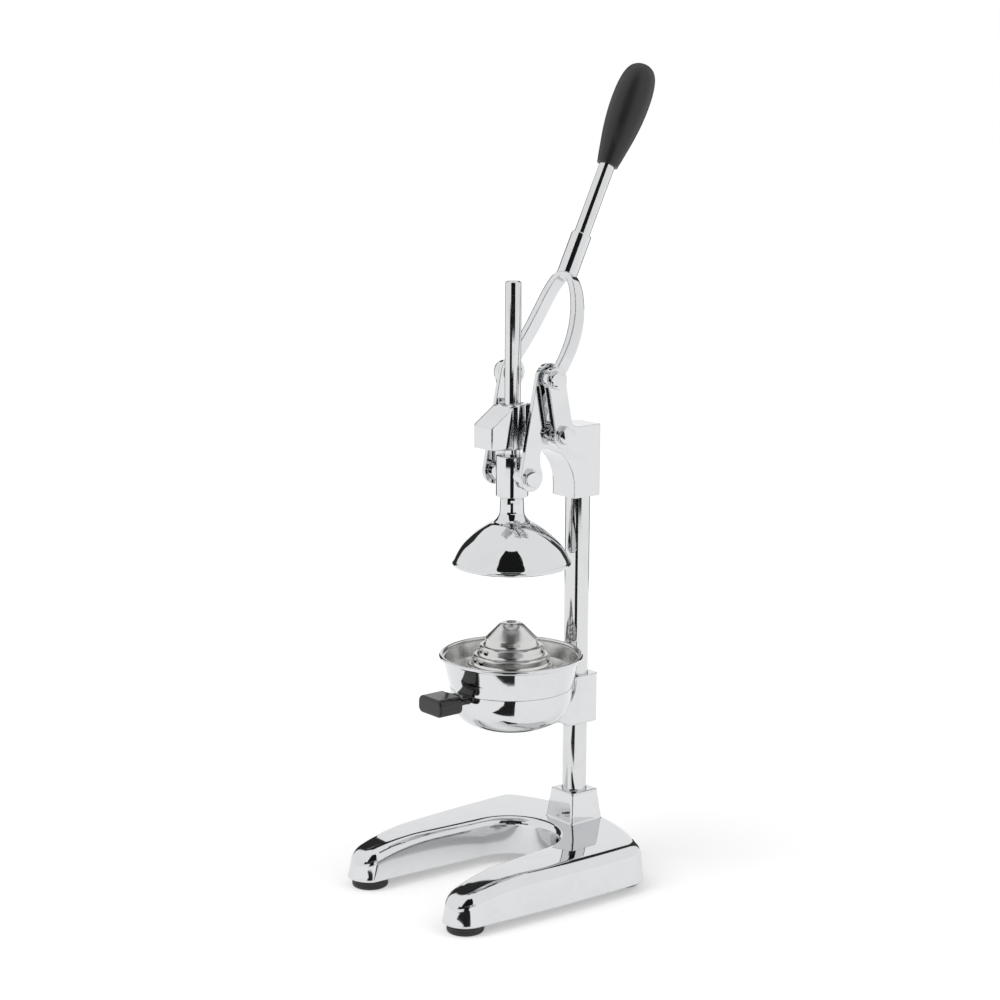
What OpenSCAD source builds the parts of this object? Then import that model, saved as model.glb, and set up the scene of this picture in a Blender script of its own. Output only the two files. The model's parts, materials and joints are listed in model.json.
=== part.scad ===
// Lever citrus juice press: a U-shaped base and a column carry a head with a forked lever, whose links drive
// a bell-shaped press cup down on a ribbed cone. X = 0 is the plane of symmetry, the front is -Y, and Z = 0
// is the table under the rubber feet.

/* [Base] */
// Width of the base casting at its lower edge
base_width = 196; // [188:1:204]
// How far the legs reach in front of the column's axis
leg_reach = 201; // [196:1:212]
// How far the base reaches behind the column's axis
base_back = 30; // [29:0.5:34]
// Width of a leg at its tip
leg_width = 40; // [38:0.5:43]
// Height of the casting at the rear, above its lower edge
base_height = 34; // [32:0.5:38]
// Height of the casting at the leg tips, above its lower edge
tip_height = 27; // [24:0.5:30]
// Wall of the hollow casting
base_wall = 5; // [4:0.25:6]
// Radius of the inner arc between the legs, at the lower edge
arc_r = 41; // [36:0.5:44]
// Width of the square column socket at its top
socket_top_w = 31; // [30:0.5:34]
// Width of the square column socket at its foot
socket_foot_w = 37; // [35:0.5:40]
// Height of the socket above the casting's rear top
socket_height = 27.5; // [24:0.5:34]

/* [Feet] */
// Diameter of a rubber foot
foot_d = 32; // [28:0.5:34]
// Height of a rubber foot
foot_height = 9; // [7:0.5:11]
// Distance from the base's side to a foot's middle
foot_inset = 30; // [28:0.5:32]
// Diameter of a foot screw's thread
foot_screw_d = 5; // [4:0.5:6]
// Diameter of a foot screw's head
foot_head_d = 9.5; // [8.5:0.25:11]

/* [Column] */
// Diameter of the column
column_d = 22; // [18:0.5:24]
// Distance from the column's axis to the press axis
reach = 76; // [74:0.5:80]
// Height of the lever's pivot on the head
pivot_z = 405.5; // [400:0.5:420]
// Thread diameter of the bolt under the column
column_bolt_d = 10; // [8:0.5:12]

/* [Head] */
// Width of the head casting
head_width = 29; // [28:0.5:32]
// Height of the head's block on the column
head_block_height = 64; // [58:0.5:70]
// Width of the guide nose at the front
nose_width = 26; // [24:0.5:28]
// How far the nose reaches in front of the press axis
nose_reach = 33; // [31:0.5:36]
// Outside diameter of the guide bushes
bush_d = 18; // [17:0.25:19]
// Diameter of the boss that carries the lever's pivot screws
pivot_boss_d = 22; // [20:0.5:24]
// Distance from the press axis back to the lever's pivot
pivot_setback = 28.8; // [27:0.2:30]

/* [Lever] */
// Distance from the lever's pivot to the links' upper pivot
crank_length = 49.6; // [48:0.2:52]
// How far that line leans forward with the lever up
crank_lean = 11.6; // [10:0.2:13]
// How far the lever leans back when it is up
lever_lean = 26; // [24:0.5:28]
// Length of the two bowed arms, from the links' upper pivot to the sleeve
arm_length = 94.5; // [92:0.5:98]
// Thickness of the lever's arms
arm_thickness = 6.5; // [5.5:0.25:7]
// Distance between the outer faces of the two arms
fork_width = 72; // [71.5:0.25:74]
// How far the arms bow back from the lever's axis
arm_bow = 7; // [4:0.5:8]
// Outside diameter of the sleeve
sleeve_d = 18; // [17.5:0.25:20]
// Length of the sleeve
sleeve_length = 37.5; // [34:0.5:42]
// Diameter of the lever's shaft
shaft_d = 14; // [12:0.25:15]
// Length of the shaft between the sleeve and the grip
shaft_free = 66; // [60:1:72]
// Length of the grip
grip_length = 96; // [92:1:104]
// Largest diameter of the grip
grip_d = 34; // [31:0.5:36]

/* [Links] */
// Distance between a link's two pivots
link_length = 86.1; // [84:0.2:90]
// Thickness of a link
link_thickness = 4; // [3.5:0.25:4.5]
// Radius of a link's upper eye
link_top_r = 13.5; // [12.5:0.25:14]
// Radius of a link's lower eye
link_foot_r = 12.2; // [11:0.2:13]
// Hexagon size of the pivot screws, across the flats
hex_size = 14; // [13:0.25:15]
// Height of the pivot screws' heads
hex_height = 5.5; // [4.5:0.25:6]
// Thread diameter of the pivot screws
screw_d = 8; // [7:0.25:8.5]
// Diameter of the pivot screws' shoulders
shoulder_d = 10; // [9.5:0.25:11]

/* [Plunger] */
// Diameter of the plunger rod
rod_d = 14; // [12:0.25:14.5]
// Height of the rod's top with the lever up
rod_top = 537; // [520:1:545]
// Diameter of the crosshead
crosshead_d = 28.4; // [27:0.2:30]
// Length of the crosshead
crosshead_length = 36; // [33:0.5:40]
// Diameter of the crosshead's side bosses
side_boss_d = 17; // [16:0.5:19]
// Diameter of the press bell at its rim
bell_d = 104; // [96:1:106]
// Height of the press bell without its neck
bell_height = 42; // [40:0.5:46]
// Wall of the press bell
bell_wall = 2.5; // [2:0.25:3]
// Diameter of the bell's neck
neck_d = 21; // [20:0.5:24]

/* [Bowls] */
// Diameter of the upper bowl over its rolled rim
rim_d = 127; // [124:1:132]
// Height of the upper bowl's rim above the table
rim_z = 210; // [206:1:216]
// Diameter of the lower bowl
bowl_d = 108; // [104:1:112]
// Depth of the lower bowl
bowl_depth = 38.5; // [36:0.5:40]
// Height of the seam between the two bowls
seam_z = 181.5; // [178:0.5:184]
// Sheet thickness of the bowls and the cone
sheet = 1.2; // [1:0.1:1.6]
// Height of the reaming cone's tip
cone_tip_z = 238; // [230:0.5:240]
// Number of steps on the cone
cone_steps = 4; // [3:1:5]
// Diameter of the juice outlet
outlet_d = 16; // [12:1:20]
// Width of the finger tab
tab_width = 32; // [28:0.5:36]
// Length of the finger tab's block
tab_length = 25; // [20:0.5:28]
// Height of the finger tab's block
tab_height = 15.5; // [13:0.5:17]

/* [Bracket] */
// Width of the bowl bracket
bracket_width = 30; // [30:0.5:34]
// Height of the bracket's collar
bracket_height = 44; // [40:0.5:48]
// Thickness of the bracket's cheeks
cheek = 4; // [3.5:0.25:4.5]

/* [Fits] */
// Radial clearance of a running fit
running_gap = 0.05; // [0.02:0.01:0.09]
// Clearance between faces that move past each other
face_gap = 0.3; // [0.2:0.05:0.4]

/* [Hidden] */
$fn = 64;
eps = 0.01;

// The lever's line, in the plane X = 0, as [y, z] from the column's axis
press_y = -reach;
pivot = [press_y + pivot_setback, pivot_z];
link_top = pivot + crank_length * [-sin(crank_lean), cos(crank_lean)];
link_foot = [press_y, link_top[1] - sqrt(pow(link_length, 2) - pow(link_top[0] - press_y, 2))];
along = [sin(lever_lean), cos(lever_lean)];
sleeve_start = arm_length;
sleeve_end = arm_length + sleeve_length;
grip_start = sleeve_end + shaft_free;

// The grip's outline: share of its length, share of its largest radius
grip_outline = [[0, 0.56], [0.03, 0.58], [0.06, 0.62], [0.16, 0.72], [0.28, 0.84], [0.4, 0.93], [0.52, 0.985],
                [0.62, 1], [0.72, 0.985], [0.81, 0.93], [0.88, 0.84], [0.935, 0.7], [0.97, 0.51],
                [0.99, 0.29], [1, 0]];
grip_points = [for (p = grip_outline) [p[1] * grip_d / 2, p[0] * grip_length]];

// The origin lies below the middle of the whole press, so the column stands behind it
grip_back = max([for (p = grip_points)
    link_top[0] + (grip_start + p[1]) * along[0] + p[0] * along[1]]);
column_y = (leg_reach - grip_back) / 2;

// Heights of the standing parts
casting_z = foot_height;
deck_z = casting_z + base_height;
socket_top_z = deck_z + socket_height;
socket_floor = 8;
column_foot_z = casting_z + 17;
column_top_z = pivot_z - 8.5;
head_block_z = pivot_z + 1.5 - head_block_height;
bracket_z = seam_z - bracket_height - 2;
cone_foot_z = seam_z - 4.3;
bell_drop = 62.5;
bell_rim_z = link_foot[1] - crosshead_length / 2 - bell_drop;
bell_top_z = bell_rim_z + bell_height;
crosshead_z = link_foot[1] - crosshead_length / 2 - 1.5;

// Planes across the press, from the inside out
link_in = fork_width / 2 - 13.5;
link_out = link_in + link_thickness;
arm_out = fork_width / 2;
arm_in = arm_out - arm_thickness;
boss_out = arm_in - face_gap;

// ---- Helpers ----

// Points of an arc from angle a0 to a1
function arc(centre, r, a0, a1, steps) =
    [for (i = [0 : steps]) centre + r * [cos(a0 + (a1 - a0) * i / steps), sin(a0 + (a1 - a0) * i / steps)]];

function reversed(points) = [for (i = [len(points) - 1 : -1 : 0]) points[i]];

// The normal to the left of the way from p to q
function left_normal(p, q) = [p[1] - q[1], q[0] - p[0]] / norm(q - p);

// A line of points moved to its left by t, with the corners kept square to their bisector
function moved_left(points, t) =
    [for (i = [0 : len(points) - 1])
        let (a = left_normal(points[max(i - 1, 0)], points[max(i, 1)]),
             b = left_normal(points[min(i, len(points) - 2)], points[min(i + 1, len(points) - 1)]),
             m = (a + b) / norm(a + b))
        points[i] + m * t / max(m * a, 0.5)];

// Moves from the column's axis to the part's own frame
module from_column() {
    translate([0, column_y, 0]) children();
}

// Moves to the press axis
module on_press_axis() {
    translate([0, column_y + press_y, 0]) children();
}

// A cylinder along X between two planes
module across(x0, x1, r) {
    translate([x0, 0, 0]) rotate([0, 90, 0]) cylinder(h = x1 - x0, r = r);
}

// Moves to a point given as [y, z] from the column's axis
module at(yz) {
    translate([0, column_y + yz[0], yz[1]]) children();
}

module both_sides() {
    children();
    mirror([1, 0, 0]) children();
}

// A plate of a 2D outline in [y, z], between two planes across X
module plate_across(x0, x1) {
    translate([x0, 0, 0]) rotate([90, 0, 90]) linear_extrude(height = x1 - x0) children();
}

// An upright block with round corners, centred on X = 0
module round_block(width, y0, y1, z0, z1, r) {
    for (s = [-1, 1], y = [y0 + r, y1 - r])
        translate([s * (width / 2 - r), y, z0]) cylinder(h = z1 - z0, r = r);
    translate([-width / 2, y0 + r, z0]) cube([width, y1 - y0 - 2 * r, z1 - z0]);
    translate([-width / 2 + r, y0, z0]) cube([width - 2 * r, y1 - y0, z1 - z0]);
}

// A hexagon head or nut along X, with chamfered corners
module hex_across(x0, height, size) {
    corner = size / cos(30) / 2;
    translate([x0, 0, 0]) rotate([0, 90, 0]) intersection() {
        cylinder(h = height, r = corner, $fn = 6);
        rotate_extrude() polygon([[0, 0], [corner + 1, 0], [corner + 1, height - 2], [size / 2 - 0.6, height],
                                  [0, height]]);
    }
}

// A hexagon-socket set screw along +Y, from y0 to y1
module set_screw(d, y0, y1, z) {
    translate([0, y0, z]) rotate([-90, 0, 0]) difference() {
        cylinder(h = y1 - y0, d = d);
        translate([0, 0, (y1 - y0) * 0.4]) cylinder(h = y1 - y0, d = d * 0.55, $fn = 6);
    }
}

// ---- Base ----

base_half = base_width / 2;
tip_r = leg_width / 2;
tip_centre = [base_half - foot_inset, tip_r - leg_reach];
base_draft = 2.5;
crown_out = 11;
crown_arc = 8;
tip_drop = 54;
tip_drop_start = tip_centre[1] + tip_drop;

// The feet stand under the middles of the leg tips and close to the rear edge
rear_foot_inset = 16.5;
foot_spread = base_width - 2 * foot_inset;
foot_front_y = tip_centre[1];
foot_rear_y = base_back - rear_foot_inset - foot_d / 2;

// The rear is a flat arc with a rounder corner at each end
rear_r = 170;
corner_r = 22;
rear_turn = asin((base_half - corner_r) / (rear_r - corner_r));
rear_centre = [0, base_back - rear_r];
corner_centre = rear_centre + (rear_r - corner_r) * [sin(rear_turn), cos(rear_turn)];

// The outer wall leaves the rear corner straight to the front and bends in to touch the tip's circle
wall_turn = -atan(2 * (foot_inset - tip_r) / (corner_centre[1] - tip_centre[1]));

// The inner wall runs straight from the arc and cuts a little off the tip's circle
flank_share_of_tip = 0.93;
tip_to_flank = flank_share_of_tip * tip_r;
tip_way = tip_centre - [0, press_y];
flank_turn = atan2(tip_way[1], tip_way[0]) + acos((arc_r + tip_to_flank) / norm(tip_way));
flank_way = [sin(flank_turn), -cos(flank_turn)];

edge_steps = 6;
wall_steps = 8;
tip_steps = 12;
half_steps = 2 * edge_steps + wall_steps + tip_steps;
loop_size = 4 * half_steps;
levels = 6;

function tip_point(out, a) = tip_centre + (tip_r - out) * [cos(a), sin(a)];

// The tip's inner edge, with the outer wall moved in by out and the inner wall by in
function edge_turn(out, in) = flank_turn - 180 + acos((tip_to_flank - in) / (tip_r - out));

// The outer edge from the middle of the rear to the tip's inner edge, one point a step
function outer_point(i, out, edge) =
    i <= edge_steps ?
        let (turn = rear_turn * i / edge_steps)
        rear_centre + (rear_r - out) * [sin(turn), cos(turn)] :
    i <= 2 * edge_steps ?
        let (turn = (90 - rear_turn) * (2 - i / edge_steps))
        corner_centre + (corner_r - out) * [cos(turn), sin(turn)] :
    i <= 2 * edge_steps + wall_steps ?
        let (u = (i - 2 * edge_steps) / wall_steps,
             start = [base_half - out, corner_centre[1]],
             way = tip_point(out, wall_turn) - start)
        start + [way[0] * u * u, way[1] * u] :
    let (u = (i - 2 * edge_steps - wall_steps) / tip_steps)
    tip_point(out, wall_turn * (1 - u) + edge * u);

// How far along the inner wall's straight part a step lies, and how fast its rounding grows there
wall_share = 0.86;
crown_power = 3;
function flank_share(i) =
    let (u = i - 2 * edge_steps)
    u <= wall_steps ? wall_share * u / wall_steps : wall_share + (1 - wall_share) * (u - wall_steps) / tip_steps;

// The inner edge from the middle of the arc to the same tip edge
function inner_point(i, in, flank_length) =
    let (a = 90 + (flank_turn - 90) * min(i / (2 * edge_steps), 1))
    [0, press_y] + (arc_r + in) * [cos(a), sin(a)]
        + (i > 2 * edge_steps ? flank_way * flank_length * flank_share(i) : [0, 0]);

// The inner edge's rounding grows towards the tip, until it is that of the outer edge
function inner_crown(i) =
    i <= 2 * edge_steps ? crown_arc : crown_arc + (crown_out - crown_arc) * pow(flank_share(i), crown_power);

// The top of the base falls away towards the tips
function top_height(y) =
    base_height - (base_height - tip_height) * pow(max(0, (tip_drop_start - y) / tip_drop), 2);

// How far a wall has moved in at a level: level 0 is its foot, the others round it off into the top
function level_turn(level) = 90 * (level - 1) / (levels - 1);

// The hollow's rounding is that of the skin, less a part of the wall
hollow_share = 0.6;
least_crown = 0.8;
function crown_left(crown, wall) = max(crown - wall * hollow_share, least_crown);
function moved_in(level, wall, draft, crown) =
    wall + (level == 0 ? 0 : draft + crown_left(crown, wall) * (1 - cos(level_turn(level))));

function ring_point(i, outside, level, wall) =
    let (crown = outside ? crown_out : inner_crown(i),
         out = moved_in(level, wall, base_draft, crown_out),
         edge = edge_turn(out, moved_in(level, wall, base_draft / 2, crown_out)),
         flank_length = (tip_point(out, edge) - [0, press_y]) * flank_way,
         p = outside ? outer_point(i, out, edge)
                     : inner_point(i, moved_in(level, wall, base_draft / 2, crown), flank_length),
         left = crown_left(crown, wall))
    [p[0], p[1], level == 0 ? 0 : top_height(p[1]) - wall - left + left * sin(level_turn(level))];

function half_ring(level, wall) = concat(
    [for (i = [0 : half_steps]) ring_point(i, true, level, wall)],
    [for (i = [half_steps - 1 : -1 : 0]) ring_point(i, false, level, wall)]);

function ring(level, wall) =
    let (half = half_ring(level, wall), last = len(half) - 1)
    concat(half, [for (i = [last - 1 : -1 : 1]) [-half[i][0], half[i][1], half[i][2]]]);

function two_triangles(a, b, c, d) = [[a, b, c], [a, c, d]];

// The U-shaped body of the base, with its walls moved in by wall
module base_body(wall) {
    points = [for (level = [0 : levels]) for (p = ring(level, wall)) p];
    sides = [for (level = [0 : levels - 1], i = [0 : loop_size - 1])
        let (a = level * loop_size + i, b = level * loop_size + (i + 1) % loop_size)
        for (f = two_triangles(a, b, b + loop_size, a + loop_size)) f];
    right = [for (i = [0 : half_steps - 1])
        let (c = 2 * half_steps - i - 1, d = 2 * half_steps - i)
        for (f = (i == half_steps - 1 ? [[i, i + 1, d]] : two_triangles(i, i + 1, c, d))) f];
    left = [for (f = right) [for (k = [2, 1, 0]) (loop_size - f[k]) % loop_size]];
    top = levels * loop_size;
    lids = concat(right, left);
    polyhedron(
        points = points,
        faces = concat(sides,
                       [for (f = lids) [f[0] + top, f[1] + top, f[2] + top]],
                       [for (f = lids) [f[2], f[1], f[0]]]));
}

module at_feet() {
    for (side = [-1, 1], y = [foot_front_y, foot_rear_y])
        translate([side * foot_spread / 2, y, 0]) children();
}

module column_socket() {
    r = 3;
    hull() {
        for (sx = [-1, 1], sy = [-1, 1]) {
            translate([sx * (socket_foot_w / 2 - r), sy * (socket_foot_w / 2 - r), base_height - 6])
                cylinder(h = 1, r = r, $fn = 24);
            translate([sx * (socket_top_w / 2 - r), sy * (socket_top_w / 2 - r), 0])
                translate([0, 0, base_height + socket_height - 1]) cylinder(h = 1, r = r - 0.5, $fn = 24);
        }
    }
}

module base_casting() {
    foot_boss_r = 8.5;
    color("silver") from_column() translate([0, 0, casting_z]) difference() {
        union() {
            base_body(0);
            column_socket();
        }
        difference() {
            translate([0, 0, -eps]) base_body(base_wall);
            cylinder(h = base_height, r = column_d / 2 + 7);
            at_feet() cylinder(h = base_height, r = foot_boss_r);
        }
        translate([0, 0, -1]) cylinder(h = column_foot_z - casting_z - socket_floor + 1, r = column_d / 2 + 3);
        translate([0, 0, column_foot_z - casting_z]) cylinder(h = base_height + socket_height, d = column_d);
        cylinder(h = base_height, d = column_bolt_d + 0.6);
        at_feet() translate([0, 0, -1]) cylinder(h = 18, d = foot_screw_d);
    }
}

foot_recess_r = foot_head_d / 2 + 1;
foot_recess = foot_height - 4.5;

module foot(side, y) {
    color("dimgray") from_column() translate([side * foot_spread / 2, y, 0])
        rotate_extrude() polygon([[foot_recess_r, 0], [foot_d / 2 - 1.5, 0], [foot_d / 2 - 0.5, 1],
                                  [foot_d / 2, foot_height - 2], [foot_d / 2, foot_height],
                                  [foot_screw_d / 2, foot_height], [foot_screw_d / 2, foot_recess],
                                  [foot_recess_r, foot_recess]]);
}

module foot_front_left() { foot(-1, foot_front_y); }
module foot_front_right() { foot(1, foot_front_y); }
module foot_rear_left() { foot(-1, foot_rear_y); }
module foot_rear_right() { foot(1, foot_rear_y); }

module foot_screws() {
    head = 3;
    color("gray") from_column() at_feet() difference() {
        union() {
            translate([0, 0, foot_recess - head]) cylinder(h = head, d1 = foot_head_d - 1.5, d2 = foot_head_d);
            translate([0, 0, foot_recess - eps]) cylinder(h = 16, d = foot_screw_d);
        }
        for (turn = [0, 90])
            rotate(turn) translate([-foot_head_d / 3, -0.6, foot_recess - head - 1])
                cube([foot_head_d / 1.5, 1.2, 2.5]);
    }
}

// ---- Column ----

module column() {
    chamfer = 0.8;
    thread = 20;
    color("silver") from_column() rotate_extrude() polygon([
        [column_bolt_d / 2, column_foot_z], [column_d / 2 - chamfer, column_foot_z],
        [column_d / 2, column_foot_z + chamfer], [column_d / 2, column_top_z - chamfer],
        [column_d / 2 - chamfer, column_top_z], [0, column_top_z], [0, column_foot_z + thread + 4],
        [column_bolt_d / 2, column_foot_z + thread]]);
}

washer_z = column_foot_z - socket_floor;
washer = 2;

module column_washer() {
    color("gray") from_column() translate([0, 0, washer_z - washer]) difference() {
        cylinder(h = washer, d = column_bolt_d * 2);
        translate([0, 0, -1]) cylinder(h = washer + 2, d = column_bolt_d + 0.6);
    }
}

module column_bolt() {
    head = column_bolt_d * 0.6;
    color("gray") from_column() translate([0, 0, washer_z - washer]) {
        translate([0, 0, -head]) cylinder(h = head, d = column_bolt_d * 1.85, $fn = 6);
        translate([0, 0, -eps]) cylinder(h = washer + socket_floor + 16, d = column_bolt_d);
    }
}

// ---- Bowls ----

// The lower bowl's outside, from its lip down to its outlet, as [radius, height]
bowl_shape = [[1, 0], [1, 0.13], [0.99, 0.3], [0.963, 0.47], [0.907, 0.62], [0.815, 0.76], [0.69, 0.87],
              [0.52, 0.945], [0.33, 0.985], [0.15, 1]];
bowl_points = [for (p = bowl_shape) [p[0] * bowl_d / 2, seam_z - p[1] * bowl_depth]];

// The room that the lower bowl takes up, with a clearance
module bowl_room(gap) {
    on_press_axis() rotate_extrude()
        polygon(concat([[0, seam_z + 5], [bowl_d / 2 + gap, seam_z + 5]],
                       moved_left(bowl_points, -gap),
                       [[0, seam_z - bowl_depth - gap]]));
}

module juice_bowl() {
    color("silver") on_press_axis() difference() {
        rotate_extrude() polygon(concat(
            [for (p = bowl_points) p],
            [[0, seam_z - bowl_depth]],
            [[0, seam_z - bowl_depth + sheet]],
            reversed([for (p = moved_left(bowl_points, -sheet)) [max(p[0], 0), min(p[1], seam_z)]])));
        translate([0, 0, seam_z - bowl_depth - 1]) cylinder(h = sheet + 4, d = outlet_d);
    }
}

// The rear tongue, with a flange that slides down into the bracket's slot
tongue_half = bracket_width / 2 - cheek - 0.4;
flange = 3.2;
collar_front_y = -(column_d / 2 + 4);
plate = 4;

module bowl_tongue() {
    z0 = bracket_z + plate;
    flange_y = collar_front_y - face_gap - flange;
    color("silver") difference() {
        from_column() union() {
            translate([-tongue_half - 2, flange_y, z0]) cube([tongue_half * 2 + 4, flange, 17]);
            translate([-tongue_half, -reach / 2, z0]) cube([tongue_half * 2, reach / 2 + flange_y + eps, 17]);
        }
        bowl_room(0);
    }
}

// The finger tab in front of the lower bowl, with a thinner neck that meets the bowl
tab_end_y = -(bowl_d / 2 + 37);
tab_z = seam_z - 12;
tab_neck_z = tab_z + tab_height / 2 + 1;

module tab_section(width, height, r) {
    for (sx = [-1, 1], sz = [-1, 1])
        translate([sx * (width / 2 - r), sz * (height / 2 - r)]) circle(r = r);
    square([width - 2 * r, height], center = true);
    square([width, height - 2 * r], center = true);
}

module bowl_tab() {
    neck_height = 6;
    neck_width = tab_width * 0.7;
    color([0.12, 0.12, 0.12]) difference() {
        on_press_axis() {
            translate([0, tab_end_y + tab_length, tab_z + tab_height / 2]) rotate([90, 0, 0])
                linear_extrude(height = tab_length) tab_section(tab_width, tab_height, 5.5);
            translate([-neck_width / 2, tab_end_y + tab_length - eps, tab_neck_z - neck_height / 2])
                cube([neck_width, -tab_end_y - tab_length - bowl_d / 3, neck_height]);
        }
        bowl_room(0);
        tang_bar(0);
    }
}

// The steel tang inside the tab, welded to the bowl
module tang_bar(start) {
    thickness = 2.5;
    width = 12;
    depth = tab_length * 0.7;
    end_y = tab_end_y + tab_length - depth;
    on_press_axis() translate([-width / 2, end_y, tab_neck_z - thickness / 2])
        cube([width, -end_y - bowl_d / 3 - start, thickness]);
}

module tab_tang() {
    color("silver") difference() {
        tang_bar(1);
        bowl_room(0);
    }
}

// The upper bowl's outside, from its spigot up to its rim
spigot_r = bowl_d / 2 - sheet - 0.4;
spigot = 5;
rim_bead_r = 1.9;
ledge_r = 44;
wall_points = [[bowl_d / 2, seam_z], [bowl_d / 2 + 0.7, seam_z + 2.5], [bowl_d / 2 + 3.4, seam_z + 13],
               [rim_d / 2 - 3.5, rim_z - 3.8], [rim_d / 2 - rim_bead_r - 1.2, rim_z - rim_bead_r]];

module upper_bowl() {
    inner = moved_left(wall_points, sheet);
    color("lightgray") on_press_axis() rotate_extrude() {
        polygon(concat([[ledge_r, seam_z - spigot], [spigot_r - 2, seam_z - spigot],
                        [spigot_r, seam_z - spigot + 2], [spigot_r, seam_z]],
                       wall_points,
                       reversed([for (i = [1 : len(inner) - 1]) inner[i]]),
                       [[spigot_r - sheet, seam_z + 0.6], [spigot_r - sheet, seam_z - spigot + 2.4],
                        [spigot_r - 2.6, seam_z - spigot + sheet], [ledge_r, seam_z - spigot + sheet]]));
        translate([rim_d / 2 - rim_bead_r, rim_z - rim_bead_r]) circle(r = rim_bead_r);
    }
}

// The reaming cone: a domed tip with a dimple, a plain cone, then steps, as [radius, height]
cone_base_z = seam_z - spigot + sheet;
cone_plain_r = 22.5;
cone_plain_drop = 13.5;
cone_foot_r = spigot_r - 5;
step_run = (cone_foot_r - 3.5 - cone_plain_r) / cone_steps;
step_drop = 8.2;
tip_points = [[0, cone_tip_z - 1.6], [2.5, cone_tip_z - 1.3], [5, cone_tip_z], [8.5, cone_tip_z - 0.4],
              [11.5, cone_tip_z - 2.4], [14, cone_tip_z - 5], [cone_plain_r, cone_tip_z - cone_plain_drop]];
step_points = [for (i = [0 : cone_steps - 1])
    let (r = cone_plain_r + i * step_run, z = cone_tip_z - cone_plain_drop - i * step_drop)
    for (p = [[0.8, -4.4], [2, -5.8], [step_run - 1.4, -6.7], [step_run - 0.3, -7.3], [step_run, -step_drop]])
        [r + p[0], z + p[1]]];
cone_points = concat(tip_points, step_points,
                     [[cone_foot_r - 2, cone_base_z + 1.2 + sheet], [cone_foot_r, cone_base_z + sheet],
                      [spigot_r - 3, cone_base_z + sheet]]);

module reamer_cone() {
    slot = [7, 5, 2.4];
    slot_turns = [for (group = [35, 215], i = [0 : 3]) group + i * 18];
    color("lightgray") on_press_axis() difference() {
        rotate_extrude() polygon(concat(cone_points,
            reversed([for (p = moved_left(cone_points, -sheet)) [max(p[0], 0), max(p[1], cone_base_z)]])));
        for (i = [1 : cone_steps - 1], turn = slot_turns)
            rotate(turn)
                translate([cone_plain_r + i * step_run, -slot[1] / 2,
                           cone_tip_z - cone_plain_drop - i * step_drop - 3])
                    cube([slot[0], slot[1], slot[2]], center = true);
    }
}

// ---- Bracket ----

module cheek_outline() {
    top = bracket_z + bracket_height;
    polygon([[collar_front_y + 4, top], [collar_front_y + 1, top - 14], [collar_front_y - 3, top - 21],
             [collar_front_y - 21, top - 30], [collar_front_y - 19, top - 36], [collar_front_y - 5, bracket_z],
             [collar_front_y + 4, bracket_z]]);
}

module bowl_bracket() {
    half = bracket_width / 2;
    top = bracket_z + bracket_height;
    color("silver") difference() {
        from_column() difference() {
            union() {
                round_block(bracket_width, collar_front_y, column_d / 2 + 4.5, bracket_z, top, 5.5);
                both_sides() plate_across(half - cheek, half) cheek_outline();
                translate([-half + 1, collar_front_y - 5, bracket_z]) cube([bracket_width - 2, 8, plate]);
            }
            translate([-tongue_half - 2.2, collar_front_y - flange - 2 * face_gap, bracket_z + plate])
                cube([tongue_half * 2 + 4.4, flange + 2 * face_gap, bracket_height]);
            translate([0, 0, bracket_z - 1]) cylinder(h = bracket_height + 2, d = column_d);
            for (z = bracket_screw_z)
                translate([0, 0, z]) rotate([-90, 0, 0]) cylinder(h = 30, d = set_screw_d);
        }
        bowl_room(0.5);
    }
}

set_screw_d = 6;
bracket_screw_z = [bracket_z + 12, bracket_z + bracket_height - 12];
head_screw_z = [head_block_z + 15, head_block_z + head_block_height - 22];

module bracket_screws() {
    color("gray") from_column() for (z = bracket_screw_z)
        set_screw(set_screw_d, column_d / 2, column_d / 2 + 4, z);
}

// ---- Head ----

head_back = column_d / 2 + 3.2;
head_front = column_d / 2 + 5.7;
head_half = head_width / 2;
guide_r = bush_d / 2 + 4.2;
nose_top_z = pivot_z + 26.5;
nose_y = press_y - nose_reach;
nose_low_z = pivot_z - 10.5;
web_low_z = pivot_z - 14.4;
web_r = 37;

// The head's outline seen from the side, as [y, z] from the column's axis
head_outline = concat(
    [[head_back, head_block_z], [head_back, pivot_z + 1.5], [-13, pivot_z + 1.5], [-22, pivot_z + 5],
     [-34, pivot_z + 13.5], [-45, pivot_z + 20.5], [-56, pivot_z + 25], [-67, nose_top_z],
     [press_y - 8, nose_top_z - 0.5], [nose_y, pivot_z + 8.5], [nose_y, nose_low_z]],
    arc([-head_front - web_r, web_low_z - web_r], web_r, 90, 0, 10),
    [[-head_front, head_block_z]]);

module nose_plan() {
    bevel = 1.2;
    half = nose_width / 2;
    rear = press_y - guide_r * 0.75;
    polygon([[-half + bevel, nose_y], [half - bevel, nose_y], [half, nose_y + 2], [half, rear],
             [-half, rear], [-half, nose_y + 2]]);
    translate([0, press_y]) circle(r = guide_r);
}

module head_casting() {
    web_front = press_y + guide_r * 0.75;
    color("silver") from_column() difference() {
        union() {
            intersection() {
                plate_across(-head_half, head_half) polygon(head_outline);
                union() {
                    round_block(head_width, web_front, head_back, head_block_z, nose_top_z + 1, 2.5);
                    translate([0, 0, head_block_z]) linear_extrude(height = nose_top_z - head_block_z + 1)
                        nose_plan();
                }
            }
            translate([0, pivot[0], pivot[1]]) across(-boss_out, boss_out, pivot_boss_d / 2);
        }
        translate([0, 0, head_block_z - 1]) cylinder(h = column_top_z - head_block_z + 1, d = column_d);
        translate([0, press_y, head_block_z]) cylinder(h = 200, d = bush_d);
        both_sides() translate([boss_out - 20, pivot[0], pivot[1]]) across(0, 21, screw_d / 2);
        for (z = head_screw_z) translate([0, 0, z]) rotate([-90, 0, 0]) cylinder(h = 30, d = set_screw_d);
    }
}

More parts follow.
